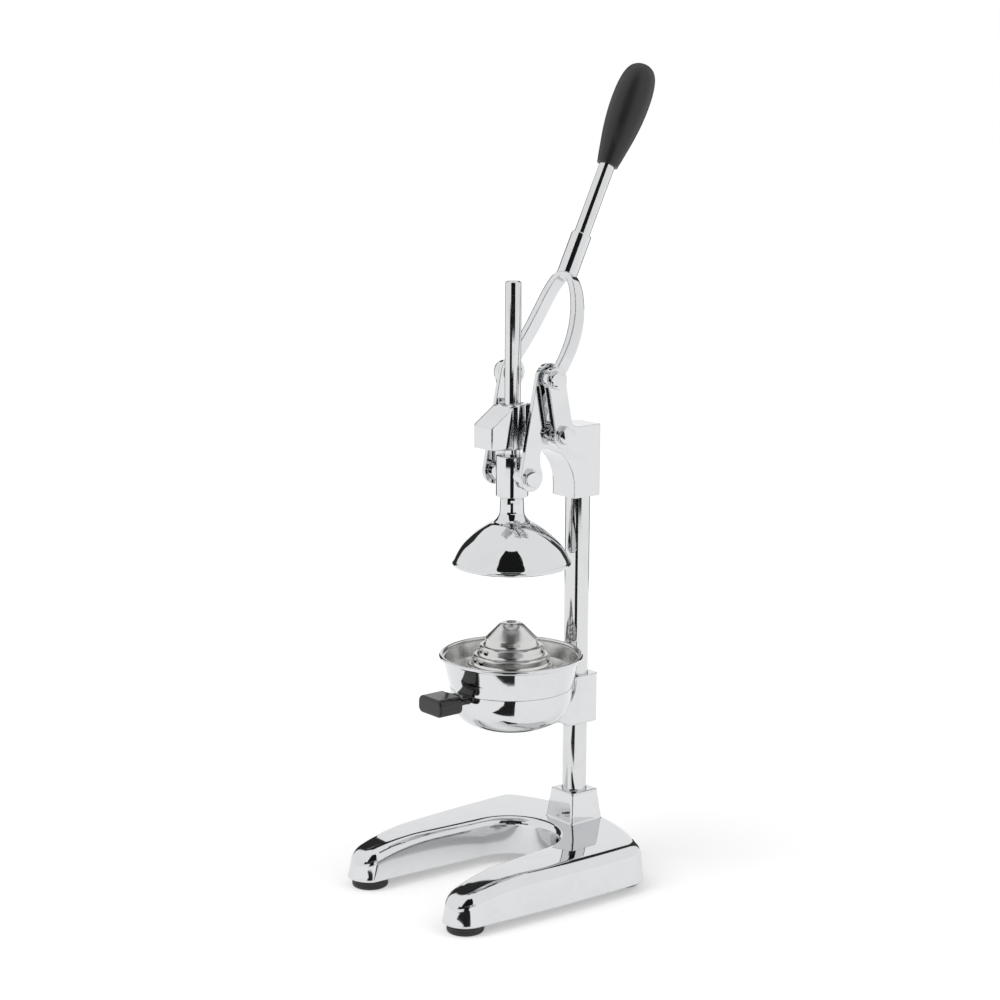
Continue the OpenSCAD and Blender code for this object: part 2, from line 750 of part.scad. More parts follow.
module head_screws() {
    color("gray") from_column() for (z = head_screw_z)
        set_screw(set_screw_d, column_d / 2, column_d / 2 + 3, z);
}

module guide_bushes() {
    length = 12;
    color("goldenrod") on_press_axis() for (z = [nose_low_z + 0.5, nose_top_z - length - 3])
        translate([0, 0, z]) difference() {
            cylinder(h = length, d = bush_d);
            translate([0, 0, -1]) cylinder(h = length + 2, r = rod_d / 2 + running_gap);
        }
}

// ---- Lever ----

bush_wall = 2;

module lever_pivot_screw(side) {
    color("silver") at(pivot) mirror([side < 0 ? 1 : 0, 0, 0]) {
        across(boss_out - 18, boss_out, screw_d / 2);
        across(boss_out - eps, arm_out + face_gap, shoulder_d / 2);
        hex_across(arm_out + face_gap, hex_height, hex_size);
    }
}

module lever_pivot_screw_left() { lever_pivot_screw(-1); }
module lever_pivot_screw_right() { lever_pivot_screw(1); }

module lever_bushes() {
    color("goldenrod") at(pivot) both_sides() difference() {
        across(arm_in, arm_out, shoulder_d / 2 + bush_wall);
        across(arm_in - 1, arm_out + 1, shoulder_d / 2 + running_gap);
    }
}

// Moves to a height along the lever's axis, with Z along the lever
module along_lever(s) {
    at(link_top) rotate([-lever_lean, 0, 0]) translate([0, 0, s]) children();
}

arm_steps = 14;
arm_half = 5.6;
crotch_s = arm_length - 2;
outer_s = arm_length + 2.5;

// The bow of the arms seen from the front: the outside is a quarter ellipse, the inside is squarer
eye_step = 0.3;
arm_root = -6;
outer_curve = concat([[arm_out - eye_step, arm_root]],
    [for (i = [0 : arm_steps]) let (a = 90 * i / arm_steps)
        [(arm_out - eye_step) * cos(a), outer_s * sin(a)]]);
inner_curve = concat([[arm_in + eye_step, arm_root]],
    [for (i = [0 : arm_steps]) let (u = sin(90 * i / arm_steps))
        [(arm_in + eye_step) * pow(1 - pow(u, 1.8), 0.55), crotch_s * u]]);

// The bow of the arms seen from the side
side_curve = concat([[0, arm_root - 1]], [for (i = [0 : arm_steps]) let (s = (outer_s + 1) * i / arm_steps)
    [arm_bow * sin(180 * min(s / arm_length, 1)), s]]);

module bowed_arms() {
    intersection() {
        rotate([90, 0, 0]) linear_extrude(height = 60, center = true) both_sides()
            polygon(concat(outer_curve, reversed(inner_curve)));
        rotate([90, 0, 90]) linear_extrude(height = fork_width + 10, center = true)
            polygon(concat([for (p = side_curve) p + [arm_half, 0]],
                           reversed([for (p = side_curve) p - [arm_half, 0]])));
    }
}

// The outline of the arm between the lever's pivot and the links' upper pivot, as [y, z]
module crank_outline() {
    eye = shoulder_d / 2 + bush_wall + 5;
    top_eye = 10.4;
    side = left_normal(pivot, link_top);
    translate(pivot) circle(r = eye);
    translate(link_top) circle(r = top_eye);
    polygon([pivot + side * (eye - 2.4), link_top + side * (top_eye - 1), link_top - side * (top_eye - 1),
             pivot - side * (eye - 2.4)]);
}

module lever_fork() {
    color("silver") difference() {
        union() {
            from_column() both_sides() plate_across(arm_in, arm_out) crank_outline();
            along_lever(0) bowed_arms();
            along_lever(sleeve_start) cylinder(h = sleeve_length, d = sleeve_d);
        }
        at(pivot) across(-50, 50, shoulder_d / 2 + bush_wall);
        at(link_top) across(-50, 50, screw_d / 2);
        along_lever(sleeve_start + 4) cylinder(h = sleeve_length, d = shaft_d);
    }
}

module lever_shaft() {
    chamfer = 1;
    inside = 62;
    length = sleeve_length - 4 + shaft_free + inside;
    color("silver") along_lever(sleeve_start + 4) rotate_extrude() polygon([
        [0, 0], [shaft_d / 2 - chamfer, 0], [shaft_d / 2, chamfer], [shaft_d / 2, length - chamfer],
        [shaft_d / 2 - chamfer, length], [0, length]]);
}

module lever_grip() {
    inside = 62;
    color([0.1, 0.1, 0.1]) along_lever(grip_start) difference() {
        rotate_extrude() polygon(concat([[0, 0]], grip_points));
        translate([0, 0, -1]) cylinder(h = inside + 1, d = shaft_d);
    }
}

// ---- Links ----

module link_pivot_screws() {
    color("silver") at(link_top) both_sides() {
        hex_across(arm_out, hex_height, hex_size);
        across(link_out + face_gap, arm_out + eps, screw_d / 2);
        across(link_in - face_gap, link_out + face_gap + eps, shoulder_d / 2);
        across(link_in - face_gap - 5, link_in - face_gap + eps, screw_d / 2);
    }
}

module link_pivot_nuts() {
    nut = 4.5;
    color("gray") at(link_top) both_sides() difference() {
        translate([link_in - face_gap, 0, 0]) mirror([1, 0, 0]) hex_across(0, nut, hex_size);
        across(link_in - 10, link_in + 1, screw_d / 2);
    }
}

module link_spacers() {
    color("silver") at(link_top) both_sides() difference() {
        across(link_out + face_gap, arm_in, shoulder_d / 2 + 3);
        across(link_out, arm_in + 1, screw_d / 2);
    }
}

// A link's outline as [across, along], with the lower pivot at the origin; it is cut away at the rear
// so that it passes in front of the lever's pivot boss
module link_outline() {
    back = 4.8;
    fillet = 30;
    lean = asin((link_top_r - link_foot_r) / link_length);
    foot_y = sqrt(pow(link_foot_r + fillet, 2) - pow(back + fillet, 2));
    top_y = sqrt(pow(link_top_r + fillet, 2) - pow(back + fillet, 2));
    foot_turn = atan2(foot_y, back + fillet);
    top_turn = atan2(top_y, back + fillet);
    polygon(concat(
        arc([0, 0], link_foot_r, 180 + lean, 360 + foot_turn, 24),
        arc([back + fillet, foot_y], fillet, 180 + foot_turn, 180, 6),
        arc([back + fillet, link_length - top_y], fillet, 180, 180 - top_turn, 6),
        arc([0, link_length], link_top_r, -top_turn, 180 + lean, 24)));
}

link_turn = atan2(link_top[0] - link_foot[0], link_top[1] - link_foot[1]);

module link_plate() {
    color("silver") difference() {
        at(link_foot) rotate([-link_turn, 0, 0]) plate_across(link_in, link_out) link_outline();
        at(link_top) across(link_in - 1, link_out + 1, shoulder_d / 2 + running_gap);
        at(link_foot) across(link_in - 1, link_out + 1, screw_d / 2);
    }
}

module link_right() { link_plate(); }
module link_left() { mirror([1, 0, 0]) link_plate(); }

module crosshead_screw_right() {
    color("silver") at(link_foot) {
        hex_across(link_out, hex_height, hex_size);
        across(link_in, link_out + eps, screw_d / 2);
    }
}

module crosshead_screw_left() { mirror([1, 0, 0]) crosshead_screw_right(); }

// ---- Plunger ----

thread_d = 10;
thread_length = 18;

module plunger_rod() {
    chamfer = 1.5;
    color("silver") on_press_axis() rotate_extrude() polygon([
        [0, crosshead_z - thread_length], [thread_d / 2, crosshead_z - thread_length],
        [thread_d / 2, crosshead_z], [rod_d / 2, crosshead_z], [rod_d / 2, rod_top - chamfer],
        [rod_d / 2 - chamfer, rod_top], [0, rod_top + 0.6]]);
}

crosshead_screw_z = crosshead_z + crosshead_length - 7;

module crosshead() {
    chamfer = 0.8;
    color("silver") on_press_axis() difference() {
        union() {
            rotate_extrude() polygon([
                [0, crosshead_z], [crosshead_d / 2 - chamfer, crosshead_z],
                [crosshead_d / 2, crosshead_z + chamfer],
                [crosshead_d / 2, crosshead_z + crosshead_length - chamfer],
                [crosshead_d / 2 - chamfer, crosshead_z + crosshead_length],
                [0, crosshead_z + crosshead_length]]);
            translate([0, 0, link_foot[1]]) across(-link_in + face_gap, link_in - face_gap, side_boss_d / 2);
        }
        translate([0, 0, crosshead_z - 1]) cylinder(h = crosshead_length + 2, d = rod_d);
        both_sides() translate([crosshead_d / 2 - 3, 0, link_foot[1]]) across(0, 30, screw_d / 2);
        translate([0, 0, crosshead_screw_z]) rotate([-90, 0, 0]) cylinder(h = 30, d = set_screw_d);
    }
}

module crosshead_screw_rear() {
    color("gray") on_press_axis() set_screw(set_screw_d, rod_d / 2, crosshead_d / 2 - 0.5, crosshead_screw_z);
}

// The bell's outside, from its neck down to its rim, as shares of the rim's radius and of its height
bell_shape = [[0.38, 0.885], [0.54, 0.755], [0.69, 0.6], [0.827, 0.42], [0.92, 0.235], [0.965, 0.115]];

module press_bell() {
    bell_r = bell_d / 2;
    bead_r = 1.8;
    neck_r = neck_d / 2;
    fillet_top = bell_top_z + 2;
    outside = concat([for (p = bell_shape) [p[0] * bell_r, bell_rim_z + p[1] * bell_height]],
                     [[bell_r - 1.2, bell_rim_z + 2 * bead_r + 0.4]]);
    inside = moved_left(outside, -bell_wall);
    bead = arc([bell_r - bead_r, bell_rim_z + bead_r], bead_r, 60, -220, 10);
    color("silver") on_press_axis() rotate_extrude()
        polygon(concat([[thread_d / 2, crosshead_z], [neck_r - 1, crosshead_z],
                        [neck_r, crosshead_z - 8], [neck_r + 0.3, fillet_top + 2],
                        [neck_r + 2, fillet_top - 1.5]],
                       outside, bead, reversed(inside),
                       [[neck_r, bell_top_z - 5.5], [0, bell_top_z - 5], [0, crosshead_z - thread_length - 2],
                        [thread_d / 2, crosshead_z - thread_length]]));
}

base_casting();
foot_front_left();
foot_front_right();
foot_rear_left();
foot_rear_right();
foot_screws();
column();
column_bolt();
column_washer();
bowl_bracket();
bracket_screws();
head_casting();
head_screws();
guide_bushes();
lever_pivot_screw_left();
lever_pivot_screw_right();
lever_fork();
lever_bushes();
lever_shaft();
lever_grip();
link_pivot_screws();
link_pivot_nuts();
link_spacers();
link_left();
link_right();
crosshead_screw_left();
crosshead_screw_right();
plunger_rod();
crosshead();
crosshead_screw_rear();
press_bell();
juice_bowl();
bowl_tongue();
bowl_tab();
tab_tang();
upper_bowl();
reamer_cone();
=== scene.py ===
"""Finished look of a lever citrus juice press.

Cast, turned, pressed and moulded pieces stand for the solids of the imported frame.
"""

import json
import logging
import math
from collections.abc import Sequence
from dataclasses import dataclass
from enum import Enum

import bmesh
import bpy
from mathutils import Matrix, Vector

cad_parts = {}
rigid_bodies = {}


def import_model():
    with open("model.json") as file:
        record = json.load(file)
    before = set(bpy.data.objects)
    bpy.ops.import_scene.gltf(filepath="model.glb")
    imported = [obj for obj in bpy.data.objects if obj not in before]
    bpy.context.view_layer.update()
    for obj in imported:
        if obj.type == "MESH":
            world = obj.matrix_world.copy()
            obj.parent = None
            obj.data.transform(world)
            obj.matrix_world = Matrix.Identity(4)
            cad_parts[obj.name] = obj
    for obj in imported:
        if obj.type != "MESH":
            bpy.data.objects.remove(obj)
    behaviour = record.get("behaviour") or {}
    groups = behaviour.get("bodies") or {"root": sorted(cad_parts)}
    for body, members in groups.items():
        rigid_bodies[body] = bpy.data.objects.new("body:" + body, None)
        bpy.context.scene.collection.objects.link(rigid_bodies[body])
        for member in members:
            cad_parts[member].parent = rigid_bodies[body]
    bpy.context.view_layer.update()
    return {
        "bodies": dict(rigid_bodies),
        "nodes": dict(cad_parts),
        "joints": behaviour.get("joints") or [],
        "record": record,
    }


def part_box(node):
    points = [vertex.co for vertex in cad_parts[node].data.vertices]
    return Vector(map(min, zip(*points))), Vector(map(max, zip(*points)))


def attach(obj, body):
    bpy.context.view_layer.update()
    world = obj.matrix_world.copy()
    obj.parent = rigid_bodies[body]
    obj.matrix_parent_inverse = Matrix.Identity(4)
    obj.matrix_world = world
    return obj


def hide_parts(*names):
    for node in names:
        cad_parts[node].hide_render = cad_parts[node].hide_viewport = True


LOG = logging.getLogger("juice_press")
MM = 0.001
MERGE_DISTANCE = 2e-6
SHARP_ANGLE = 38.0
WHITE = (1.0, 1.0, 1.0, 1.0)
MIX_FIRST, MIX_SECOND, MIX_RESULT = 6, 7, 2
Point = tuple[float, float]
Line = list[Point]
Colour = tuple[float, float, float]
Socket = bpy.types.NodeSocket


class Coat(Enum):
    """The finishes of the press, by the record's material slot."""

    CHROME = "chrome_casting"
    STEEL = "polished_steel"
    SATIN = "brushed_stainless"
    ZINC = "zinc_steel"
    BRONZE = "bronze"
    GRIP = "grip_plastic"
    TAB = "tab_plastic"
    RUBBER = "rubber"


# ---- Node trees ----


class Wiring:
    """Adds nodes to a tree and joins them."""

    def __init__(self, tree: bpy.types.NodeTree) -> None:
        """Keeps the shader or geometry node tree that the nodes go in."""
        self.tree = tree

    def node(self, kind: str, inputs: dict | None = None, **settings: object) -> bpy.types.Node:
        """Adds one node.

        Args:
            kind: the node's type.
            inputs: values or output sockets, by the input's name or number.
            settings: the node's own properties.

        Returns:
            The new node.
        """
        node = self.tree.nodes.new(kind)
        for name, value in settings.items():
            setattr(node, name, value)
        for key, value in (inputs or {}).items():
            if isinstance(value, bpy.types.NodeSocket):
                self.join(value, node.inputs[key])
            else:
                node.inputs[key].default_value = value
        return node

    def join(self, start: Socket, end: Socket) -> None:
        """Joins an output to an input."""
        self.tree.links.new(start, end)

    def math(self, operation: str, *values: object) -> Socket:
        """Adds a Math node and returns its output."""
        return self.node("ShaderNodeMath", dict(enumerate(values)), operation=operation).outputs[0]

    def vector(self, **parts: object) -> Socket:
        """Adds a Combine XYZ node and returns its output."""
        return self.node("ShaderNodeCombineXYZ", parts).outputs[0]

    def parts(self, vector: Socket) -> bpy.types.NodeOutputs:
        """Adds a Separate XYZ node and returns its outputs."""
        return self.node("ShaderNodeSeparateXYZ", {0: vector}).outputs

    def ranged(self, value: Socket, given: Point = (0.0, 1.0), wanted: Point = (0.0, 1.0),
               **settings: object) -> Socket:
        """Adds a Map Range node.

        Args:
            value: the value to map.
            given: the value's two limits.
            wanted: the two limits that they become.
            settings: the node's own properties.

        Returns:
            The node's output.
        """
        limits = {"From Min": given[0], "From Max": given[1], "To Min": wanted[0],
                  "To Max": wanted[1]}
        return self.node("ShaderNodeMapRange", {"Value": value, **limits}, **settings).outputs[0]

    def noise(self, place: Socket, scale: object, detail: float, **inputs: float) -> Socket:
        """Adds a Noise Texture node and returns its factor."""
        given = {"Vector": place, "Scale": scale, "Detail": detail, **inputs}
        return self.node("ShaderNodeTexNoise", given).outputs["Fac"]

    def tinted(self, share: Socket, first: Colour, second: Colour) -> Socket:
        """Adds a Mix node between two colours and returns its output."""
        inputs = {"Factor": share, MIX_FIRST: (*first, 1.0), MIX_SECOND: (*second, 1.0)}
        return self.node("ShaderNodeMix", inputs, data_type="RGBA").outputs[MIX_RESULT]

    def effect(self, tree: bpy.types.NodeTree, place: Socket) -> bpy.types.Node:
        """Adds a shader group that reads a place."""
        return self.node("ShaderNodeGroup", {"Vector": place}, node_tree=tree)

    def principled(self, inputs: dict) -> None:
        """Ends a material in a Principled shader with the inputs that are given."""
        shader = self.node("ShaderNodeBsdfPrincipled", inputs)
        self.node("ShaderNodeOutputMaterial", {"Surface": shader.outputs[0]})

    def socket(self, name: str, kind: str, value: object = None, output: bool = False) -> None:
        """Adds a named socket to the tree's interface.

        Args:
            name: the socket's name.
            kind: the socket's type, such as "NodeSocketFloat".
            value: its default, where it has one.
            output: whether it is an output.
        """
        way = "OUTPUT" if output else "INPUT"
        item = self.tree.interface.new_socket(name=name, in_out=way, socket_type=kind)
        if value is not None:
            item.default_value = value

    def ends(self) -> tuple[bpy.types.NodeOutputs, bpy.types.NodeInputs]:
        """Adds the group's input and output nodes and returns the sockets of both."""
        return self.node("NodeGroupInput").outputs, self.node("NodeGroupOutput").inputs


def empty_tree(owner: bpy.types.Material | bpy.types.World) -> Wiring:
    """Gives a material or the world an empty node tree and returns its wiring."""
    owner.use_nodes = True
    owner.node_tree.nodes.clear()
    return Wiring(owner.node_tree)


class SurfaceEffects:
    """The shader groups that the finishes share, each built once."""

    SMUDGE_RANGE = (0.45, 0.75)
    SPOT_SCALE = 90.0
    SPOT_RANGE, SPOT_SHADE = (0.0, 0.12), (0.6, 0.0)
    LINE_RANGE = (0.35, 0.65)
    LINE_DRIFT = 0.0006
    WORN_COSINE = (0.995, 0.93)
    WEAR_SCALE, WEAR_RANGE = 160.0, (0.35, 0.6)
    GRAIN_RANGE = (0.4, 0.65)

    def __init__(self) -> None:
        """Builds every group."""
        self.marks = self.handling_marks()
        self.lines = self.tool_lines()
        self.wear = self.edge_wear()
        self.grain = self.moulded_grain()

    def new_group(self, name: str, sizes: dict[str, float], results: Sequence[str]) -> Wiring:
        """Starts a shader group with a Vector input.

        Args:
            name: the group's name.
            sizes: its other inputs and their defaults.
            results: its outputs.

        Returns:
            The group's wiring.
        """
        wiring = Wiring(bpy.data.node_groups.new(name, "ShaderNodeTree"))
        wiring.socket("Vector", "NodeSocketVector")
        for size, value in sizes.items():
            wiring.socket(size, "NodeSocketFloat", value)
        for result in results:
            wiring.socket(result, "NodeSocketFloat", output=True)
        return wiring

    def handling_marks(self) -> bpy.types.NodeTree:
        """Soft smudges and dull spots, as a mask, and a polished surface's waves, as a height.

        Returns:
            The group.
        """
        w = self.new_group("handling_marks", {"Smudge Scale": 30.0, "Wave Scale": 35.0},
                           ("Mask", "Wave"))
        given, out = w.ends()
        smudge = w.noise(given["Vector"], given["Smudge Scale"], 4.0, Roughness=0.6, Distortion=0.8)
        shaped = w.ranged(smudge, self.SMUDGE_RANGE, interpolation_type="SMOOTHSTEP")
        spots = w.node("ShaderNodeTexVoronoi",
                       {"Vector": given["Vector"], "Scale": self.SPOT_SCALE})
        spot = w.ranged(spots.outputs["Distance"], self.SPOT_RANGE, self.SPOT_SHADE)
        w.join(w.math("MAXIMUM", shaped, spot), out["Mask"])
        w.join(w.noise(given["Vector"], given["Wave Scale"], 1.0), out["Wave"])
        return w.tree

    def tool_lines(self) -> bpy.types.NodeTree:
        """Fine lines round a turned piece's axis, the vector's Z, as a height and a mask.

        Returns:
            The group.
        """
        w = self.new_group("tool_lines", {"Line Scale": 900.0}, ("Height", "Mask"))
        given, out = w.ends()
        parts = w.parts(given["Vector"])
        flat = w.vector(X=parts["X"], Y=parts["Y"])
        radius = w.node("ShaderNodeVectorMath", {0: flat}, operation="LENGTH").outputs["Value"]
        drift = w.math("MULTIPLY", w.math("ARCTAN2", parts["Y"], parts["X"]), self.LINE_DRIFT)
        place = w.vector(X=radius, Y=parts["Z"], Z=drift)
        lines = w.noise(place, given["Line Scale"], 3.0, Roughness=0.7)
        w.join(lines, out["Height"])
        w.join(w.ranged(lines, self.LINE_RANGE), out["Mask"])
        return w.tree

    def edge_wear(self) -> bpy.types.NodeTree:
        """A mask that is 1 along edges that hands and cloths rub, broken up by noise.

        Returns:
            The group.
        """
        w = self.new_group("edge_wear", {"Width": 0.0006}, ("Mask",))
        given, out = w.ends()
        rounded = w.node("ShaderNodeBevel", {"Radius": given["Width"]}, samples=4).outputs[0]
        plain = w.node("ShaderNodeNewGeometry").outputs["Normal"]
        cosine = w.node("ShaderNodeVectorMath", {0: rounded, 1: plain}, operation="DOT_PRODUCT")
        bent = w.ranged(cosine.outputs["Value"], self.WORN_COSINE)
        patchy = w.ranged(w.noise(given["Vector"], self.WEAR_SCALE, 3.0), self.WEAR_RANGE)
        w.join(w.math("MULTIPLY", bent, patchy), out["Mask"])
        return w.tree

    def moulded_grain(self) -> bpy.types.NodeTree:
        """The fine pebbled grain of moulded plastic and rubber, as a height and a mask.

        Returns:
            The group.
        """
        w = self.new_group("moulded_grain", {"Grain Scale": 1300.0}, ("Height", "Mask"))
        given, out = w.ends()
        place = {"Vector": given["Vector"], "Scale": given["Grain Scale"]}
        cells = w.node("ShaderNodeTexVoronoi", place, feature="SMOOTH_F1")
        noise = w.noise(given["Vector"], given["Grain Scale"], 2.0)
        w.join(w.math("ADD", cells.outputs["Distance"], noise), out["Height"])
        w.join(w.ranged(noise, self.GRAIN_RANGE), out["Mask"])
        return w.tree


# ---- Finishes ----


@dataclass(frozen=True)
class MetalFinish:
    """A bare or plated metal surface. Heights and the edges' rounding are in millimetres.

    The tool lines run round an axis in the middle plane, at axis_y and axis_z in metres, which
    leans by an angle in radians. The shares say how much of the way from smooth to dull, or from
    one colour to the other, each effect takes.
    """

    colour: Colour
    dull_colour: Colour
    smooth: float
    dull: float
    wave_height: float = 0.02
    line_height: float = 0.0
    line_scale: float = 900.0
    axis_y: float = 0.0
    axis_z: float = 0.0
    lean: float = 0.0
    edge_round: float = 0.0
    smudge_share: float = 0.6
    line_share: float = 0.4
    wear_share: float = 0.7
    tint_share: float = 0.35

    def build(self, name: str, effects: SurfaceEffects) -> bpy.types.Material:
        """Builds the material.

        Args:
            name: the material's name.
            effects: the shared shader groups.

        Returns:
            The material.
        """
        material = bpy.data.materials.new(name)
        w = empty_tree(material)
        place = w.node("ShaderNodeTexCoord").outputs["Object"]
        marks = w.effect(effects.marks, place).outputs
        wear = w.effect(effects.wear, place).outputs["Mask"]
        lines = w.effect(effects.lines, self.round_axis(w, place))
        lines.inputs["Line Scale"].default_value = self.line_scale
        spread = self.dull - self.smooth
        smudged = self.smooth + spread * self.smudge_share
        rough = w.ranged(marks["Mask"], wanted=(self.smooth, smudged))
        lined = w.math("MULTIPLY", lines.outputs["Mask"],
                       spread * self.line_share if self.line_height else 0.0)
        worn = w.math("MULTIPLY", wear, spread * self.wear_share)
        rough = w.math("ADD", w.math("ADD", rough, lined), worn)
        dulled = w.math("MAXIMUM", w.math("MULTIPLY", marks["Mask"], self.tint_share), wear)
        height = w.math("ADD", w.math("MULTIPLY", marks["Wave"], self.wave_height * MM),
                        w.math("MULTIPLY", lines.outputs["Height"], self.line_height * MM))
        bump = w.node("ShaderNodeBump", {"Height": height, "Distance": 1.0, "Strength": 1.0})
        if self.edge_round:
            rounded = w.node("ShaderNodeBevel", {"Radius": self.edge_round * MM}, samples=8)
            w.join(rounded.outputs[0], bump.inputs["Normal"])
        colour = w.tinted(dulled, self.colour, self.dull_colour)
        w.principled({"Metallic": 1.0, "Base Color": colour, "Roughness": rough,
                      "Normal": bump.outputs[0]})
        return material

    def round_axis(self, w: Wiring, place: Socket) -> Socket:
        """The place as seen from the tool lines' axis.

        Args:
            w: the material's wiring.
            place: the Object coordinates.

        Returns:
            The place with the axis as its Z.
        """
        moved = w.node("ShaderNodeMapping",
                       {"Vector": place, "Location": (0.0, -self.axis_y, -self.axis_z)})
        leaned = w.node("ShaderNodeMapping",
                        {"Vector": moved.outputs[0], "Rotation": (self.lean, 0.0, 0.0)})
        return leaned.outputs[0]


@dataclass(frozen=True)
class MouldedFinish:
    """A moulded plastic or rubber surface. The grain's height is in millimetres."""

    colour: Colour
    dusty_colour: Colour
    smooth: float
    dull: float
    grain_height: float
    grain_scale: float
    smudge_share: float = 0.5
    wear_share: float = 0.8
    grain_share: float = 0.25

    def build(self, name: str, effects: SurfaceEffects) -> bpy.types.Material:
        """Builds the material.

        Args:
            name: the material's name.
            effects: the shared shader groups.

        Returns:
            The material.
        """
        material = bpy.data.materials.new(name)
        w = empty_tree(material)
        place = w.node("ShaderNodeTexCoord").outputs["Object"]
        marks = w.effect(effects.marks, place).outputs["Mask"]
        wear = w.effect(effects.wear, place).outputs["Mask"]
        grain = w.effect(effects.grain, place)
        grain.inputs["Grain Scale"].default_value = self.grain_scale
        dusty = w.math("MAXIMUM", w.math("MULTIPLY", marks, self.smudge_share),
                       w.math("MULTIPLY", wear, self.wear_share))
        dusty = w.math("ADD", dusty, w.math("MULTIPLY", grain.outputs["Mask"], self.grain_share))
        height = w.math("MULTIPLY", grain.outputs["Height"], self.grain_height * MM)
        bump = w.node("ShaderNodeBump", {"Height": height, "Distance": 1.0, "Strength": 1.0})
        w.principled({"Base Color": w.tinted(dusty, self.colour, self.dusty_colour),
                      "Roughness": w.ranged(marks, wanted=(self.smooth, self.dull)),
                      "Normal": bump.outputs[0]})
        return material


# ---- Lines and meshes ----


def rounded_line(points: Line, radius: float, steps: int = 4) -> Line:
    """Rounds the inner corners of an open line.

    Args:
        points: the line's corners, in millimetres.
        radius: the rounding's radius, less where a side is short.
        steps: parts of each rounding.

    Returns:
        The line with its corners rounded.
    """
    least_turn, longest_cut = math.radians(4), 0.45
    result: Line = [points[0]]
    for before, here, after in zip(points, points[1:], points[2:]):
        p, q, r = Vector(before), Vector(here), Vector(after)
        back, ahead = (p - q), (r - q)
        turn = math.pi - back.angle(ahead, math.pi)
        if turn < least_turn:
            result.append(here)
            continue
        cut = min(radius * math.tan(turn / 2), back.length * longest_cut,
                  ahead.length * longest_cut)
        start, end = q + back.normalized() * cut, q + ahead.normalized() * cut
        for i in range(steps + 1):
            t = i / steps
            spot = start * (1 - t) ** 2 + q * 2 * t * (1 - t) + end * t**2
            result.append((spot.x, spot.y))
    return result + [points[-1]]


def smooth_line(points: Line, steps: int = 5) -> Line:
    """Draws a smooth curve through all the points of an open line.

    Args:
        points: the line's points.
        steps: parts of the curve from one point to the next.

    Returns:
        The curve's points.
    """
    result: Line = []
    for i in range(len(points) - 1):
        before = Vector(points[max(i - 1, 0)])
        here, there = Vector(points[i]), Vector(points[i + 1])
        after = Vector(points[min(i + 2, len(points) - 1)])
        pull_here, pull_there = (there - before) / 2, (after - here) / 2
        for k in range(steps):
            t = k / steps
            spot = (here * (2 * t**3 - 3 * t**2 + 1) + pull_here * (t**3 - 2 * t**2 + t)
                    + there * (3 * t**2 - 2 * t**3) + pull_there * (t**3 - t**2))
            result.append((spot.x, spot.y))
    return result + [points[-1]]


def moved_line(points: Line, distance: float) -> Line:
    """Moves a line to its left, with its corners kept on their bisectors.

    Args:
        points: the line's points.
        distance: how far it moves, less than 0 for its right.

    Returns:
        The moved line.
    """
    least_cosine = 0.5
    result: Line = []
    for i, point in enumerate(points):
        a = Vector(points[max(i, 1)]) - Vector(points[max(i - 1, 0)])
        b = Vector(points[min(i + 1, len(points) - 1)]) - Vector(points[min(i, len(points) - 2)])
        a, b = Vector((-a.y, a.x)).normalized(), Vector((-b.y, b.x)).normalized()
        middle = (a + b).normalized()
        spot = Vector(point) + middle * distance / max(middle.dot(a), least_cosine)
        result.append((spot.x, spot.y))
    return result


def arc_line(centre: Point, radius: float, start: float, end: float, steps: int) -> Line:
    """Points of an arc between two angles, in degrees."""
    angles = [math.radians(start + (end - start) * i / steps) for i in range(steps + 1)]
    return [(centre[0] + radius * math.cos(a), centre[1] + radius * math.sin(a)) for a in angles]


def middle_of(node: str) -> tuple[float, float, float]:
    """The middle of a CAD node's box, in millimetres."""
    low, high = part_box(node)
    return tuple((a + b) / 2 / MM for a, b in zip(low, high))


def drawn_mesh(name: str, points: Sequence, edges: Sequence = (), faces: Sequence = ()
               ) -> bpy.types.Mesh:
    """Makes a mesh of points, in metres, and the edges or faces between them."""
    mesh = bpy.data.meshes.new(name)
    mesh.from_pydata(points, edges, faces)
    return mesh


def finished_mesh(name: str, work: bmesh.types.BMesh) -> bpy.types.Mesh:
    """Makes a mesh of a bmesh.

    Args:
        name: the mesh's name.
        work: the bmesh, which is freed.

    Returns:
        The mesh.
    """
    mesh = bpy.data.meshes.new(name)
    work.to_mesh(mesh)
    work.free()
    return mesh


def bridge(work: bmesh.types.BMesh, rings: list[list[bmesh.types.BMVert]]) -> None:
    """Joins each closed ring of points to the next with four-sided faces.

    Args:
        work: the bmesh that holds the points.
        rings: the rings, each with as many points as the others.
    """
    for near, far in zip(rings, rings[1:]):
        for k in range(len(near)):
            after = (k + 1) % len(near)
            work.faces.new((near[k], near[after], far[after], far[k]))


def new_piece(name: str, mesh: bpy.types.Mesh) -> bpy.types.Object:
    """Puts a mesh in the scene as an object at the origin."""
    piece = bpy.data.objects.new(name, mesh)
    bpy.context.scene.collection.objects.link(piece)
    return piece


def shade(mesh: bpy.types.Mesh, sharp: float) -> None:
    """Shades a mesh smooth but for its edges past an angle in degrees."""
    mesh.shade_smooth()
    mesh.set_sharp_from_angle(angle=math.radians(sharp))


def clean_mesh(mesh: bpy.types.Mesh, sharp: float = SHARP_ANGLE) -> None:
    """Merges doubles, turns faces outwards and shades a mesh smooth between its sharp edges.

    Args:
        mesh: the mesh, in metres.
        sharp: the angle in degrees past which an edge stays sharp.
    """
    work = bmesh.new()
    work.from_mesh(mesh)
    bmesh.ops.remove_doubles(work, verts=work.verts, dist=MERGE_DISTANCE)
    bmesh.ops.dissolve_degenerate(work, dist=MERGE_DISTANCE / 20, edges=work.edges)
    bmesh.ops.recalc_face_normals(work, faces=work.faces)
    work.to_mesh(mesh)
    work.free()
    shade(mesh, sharp)


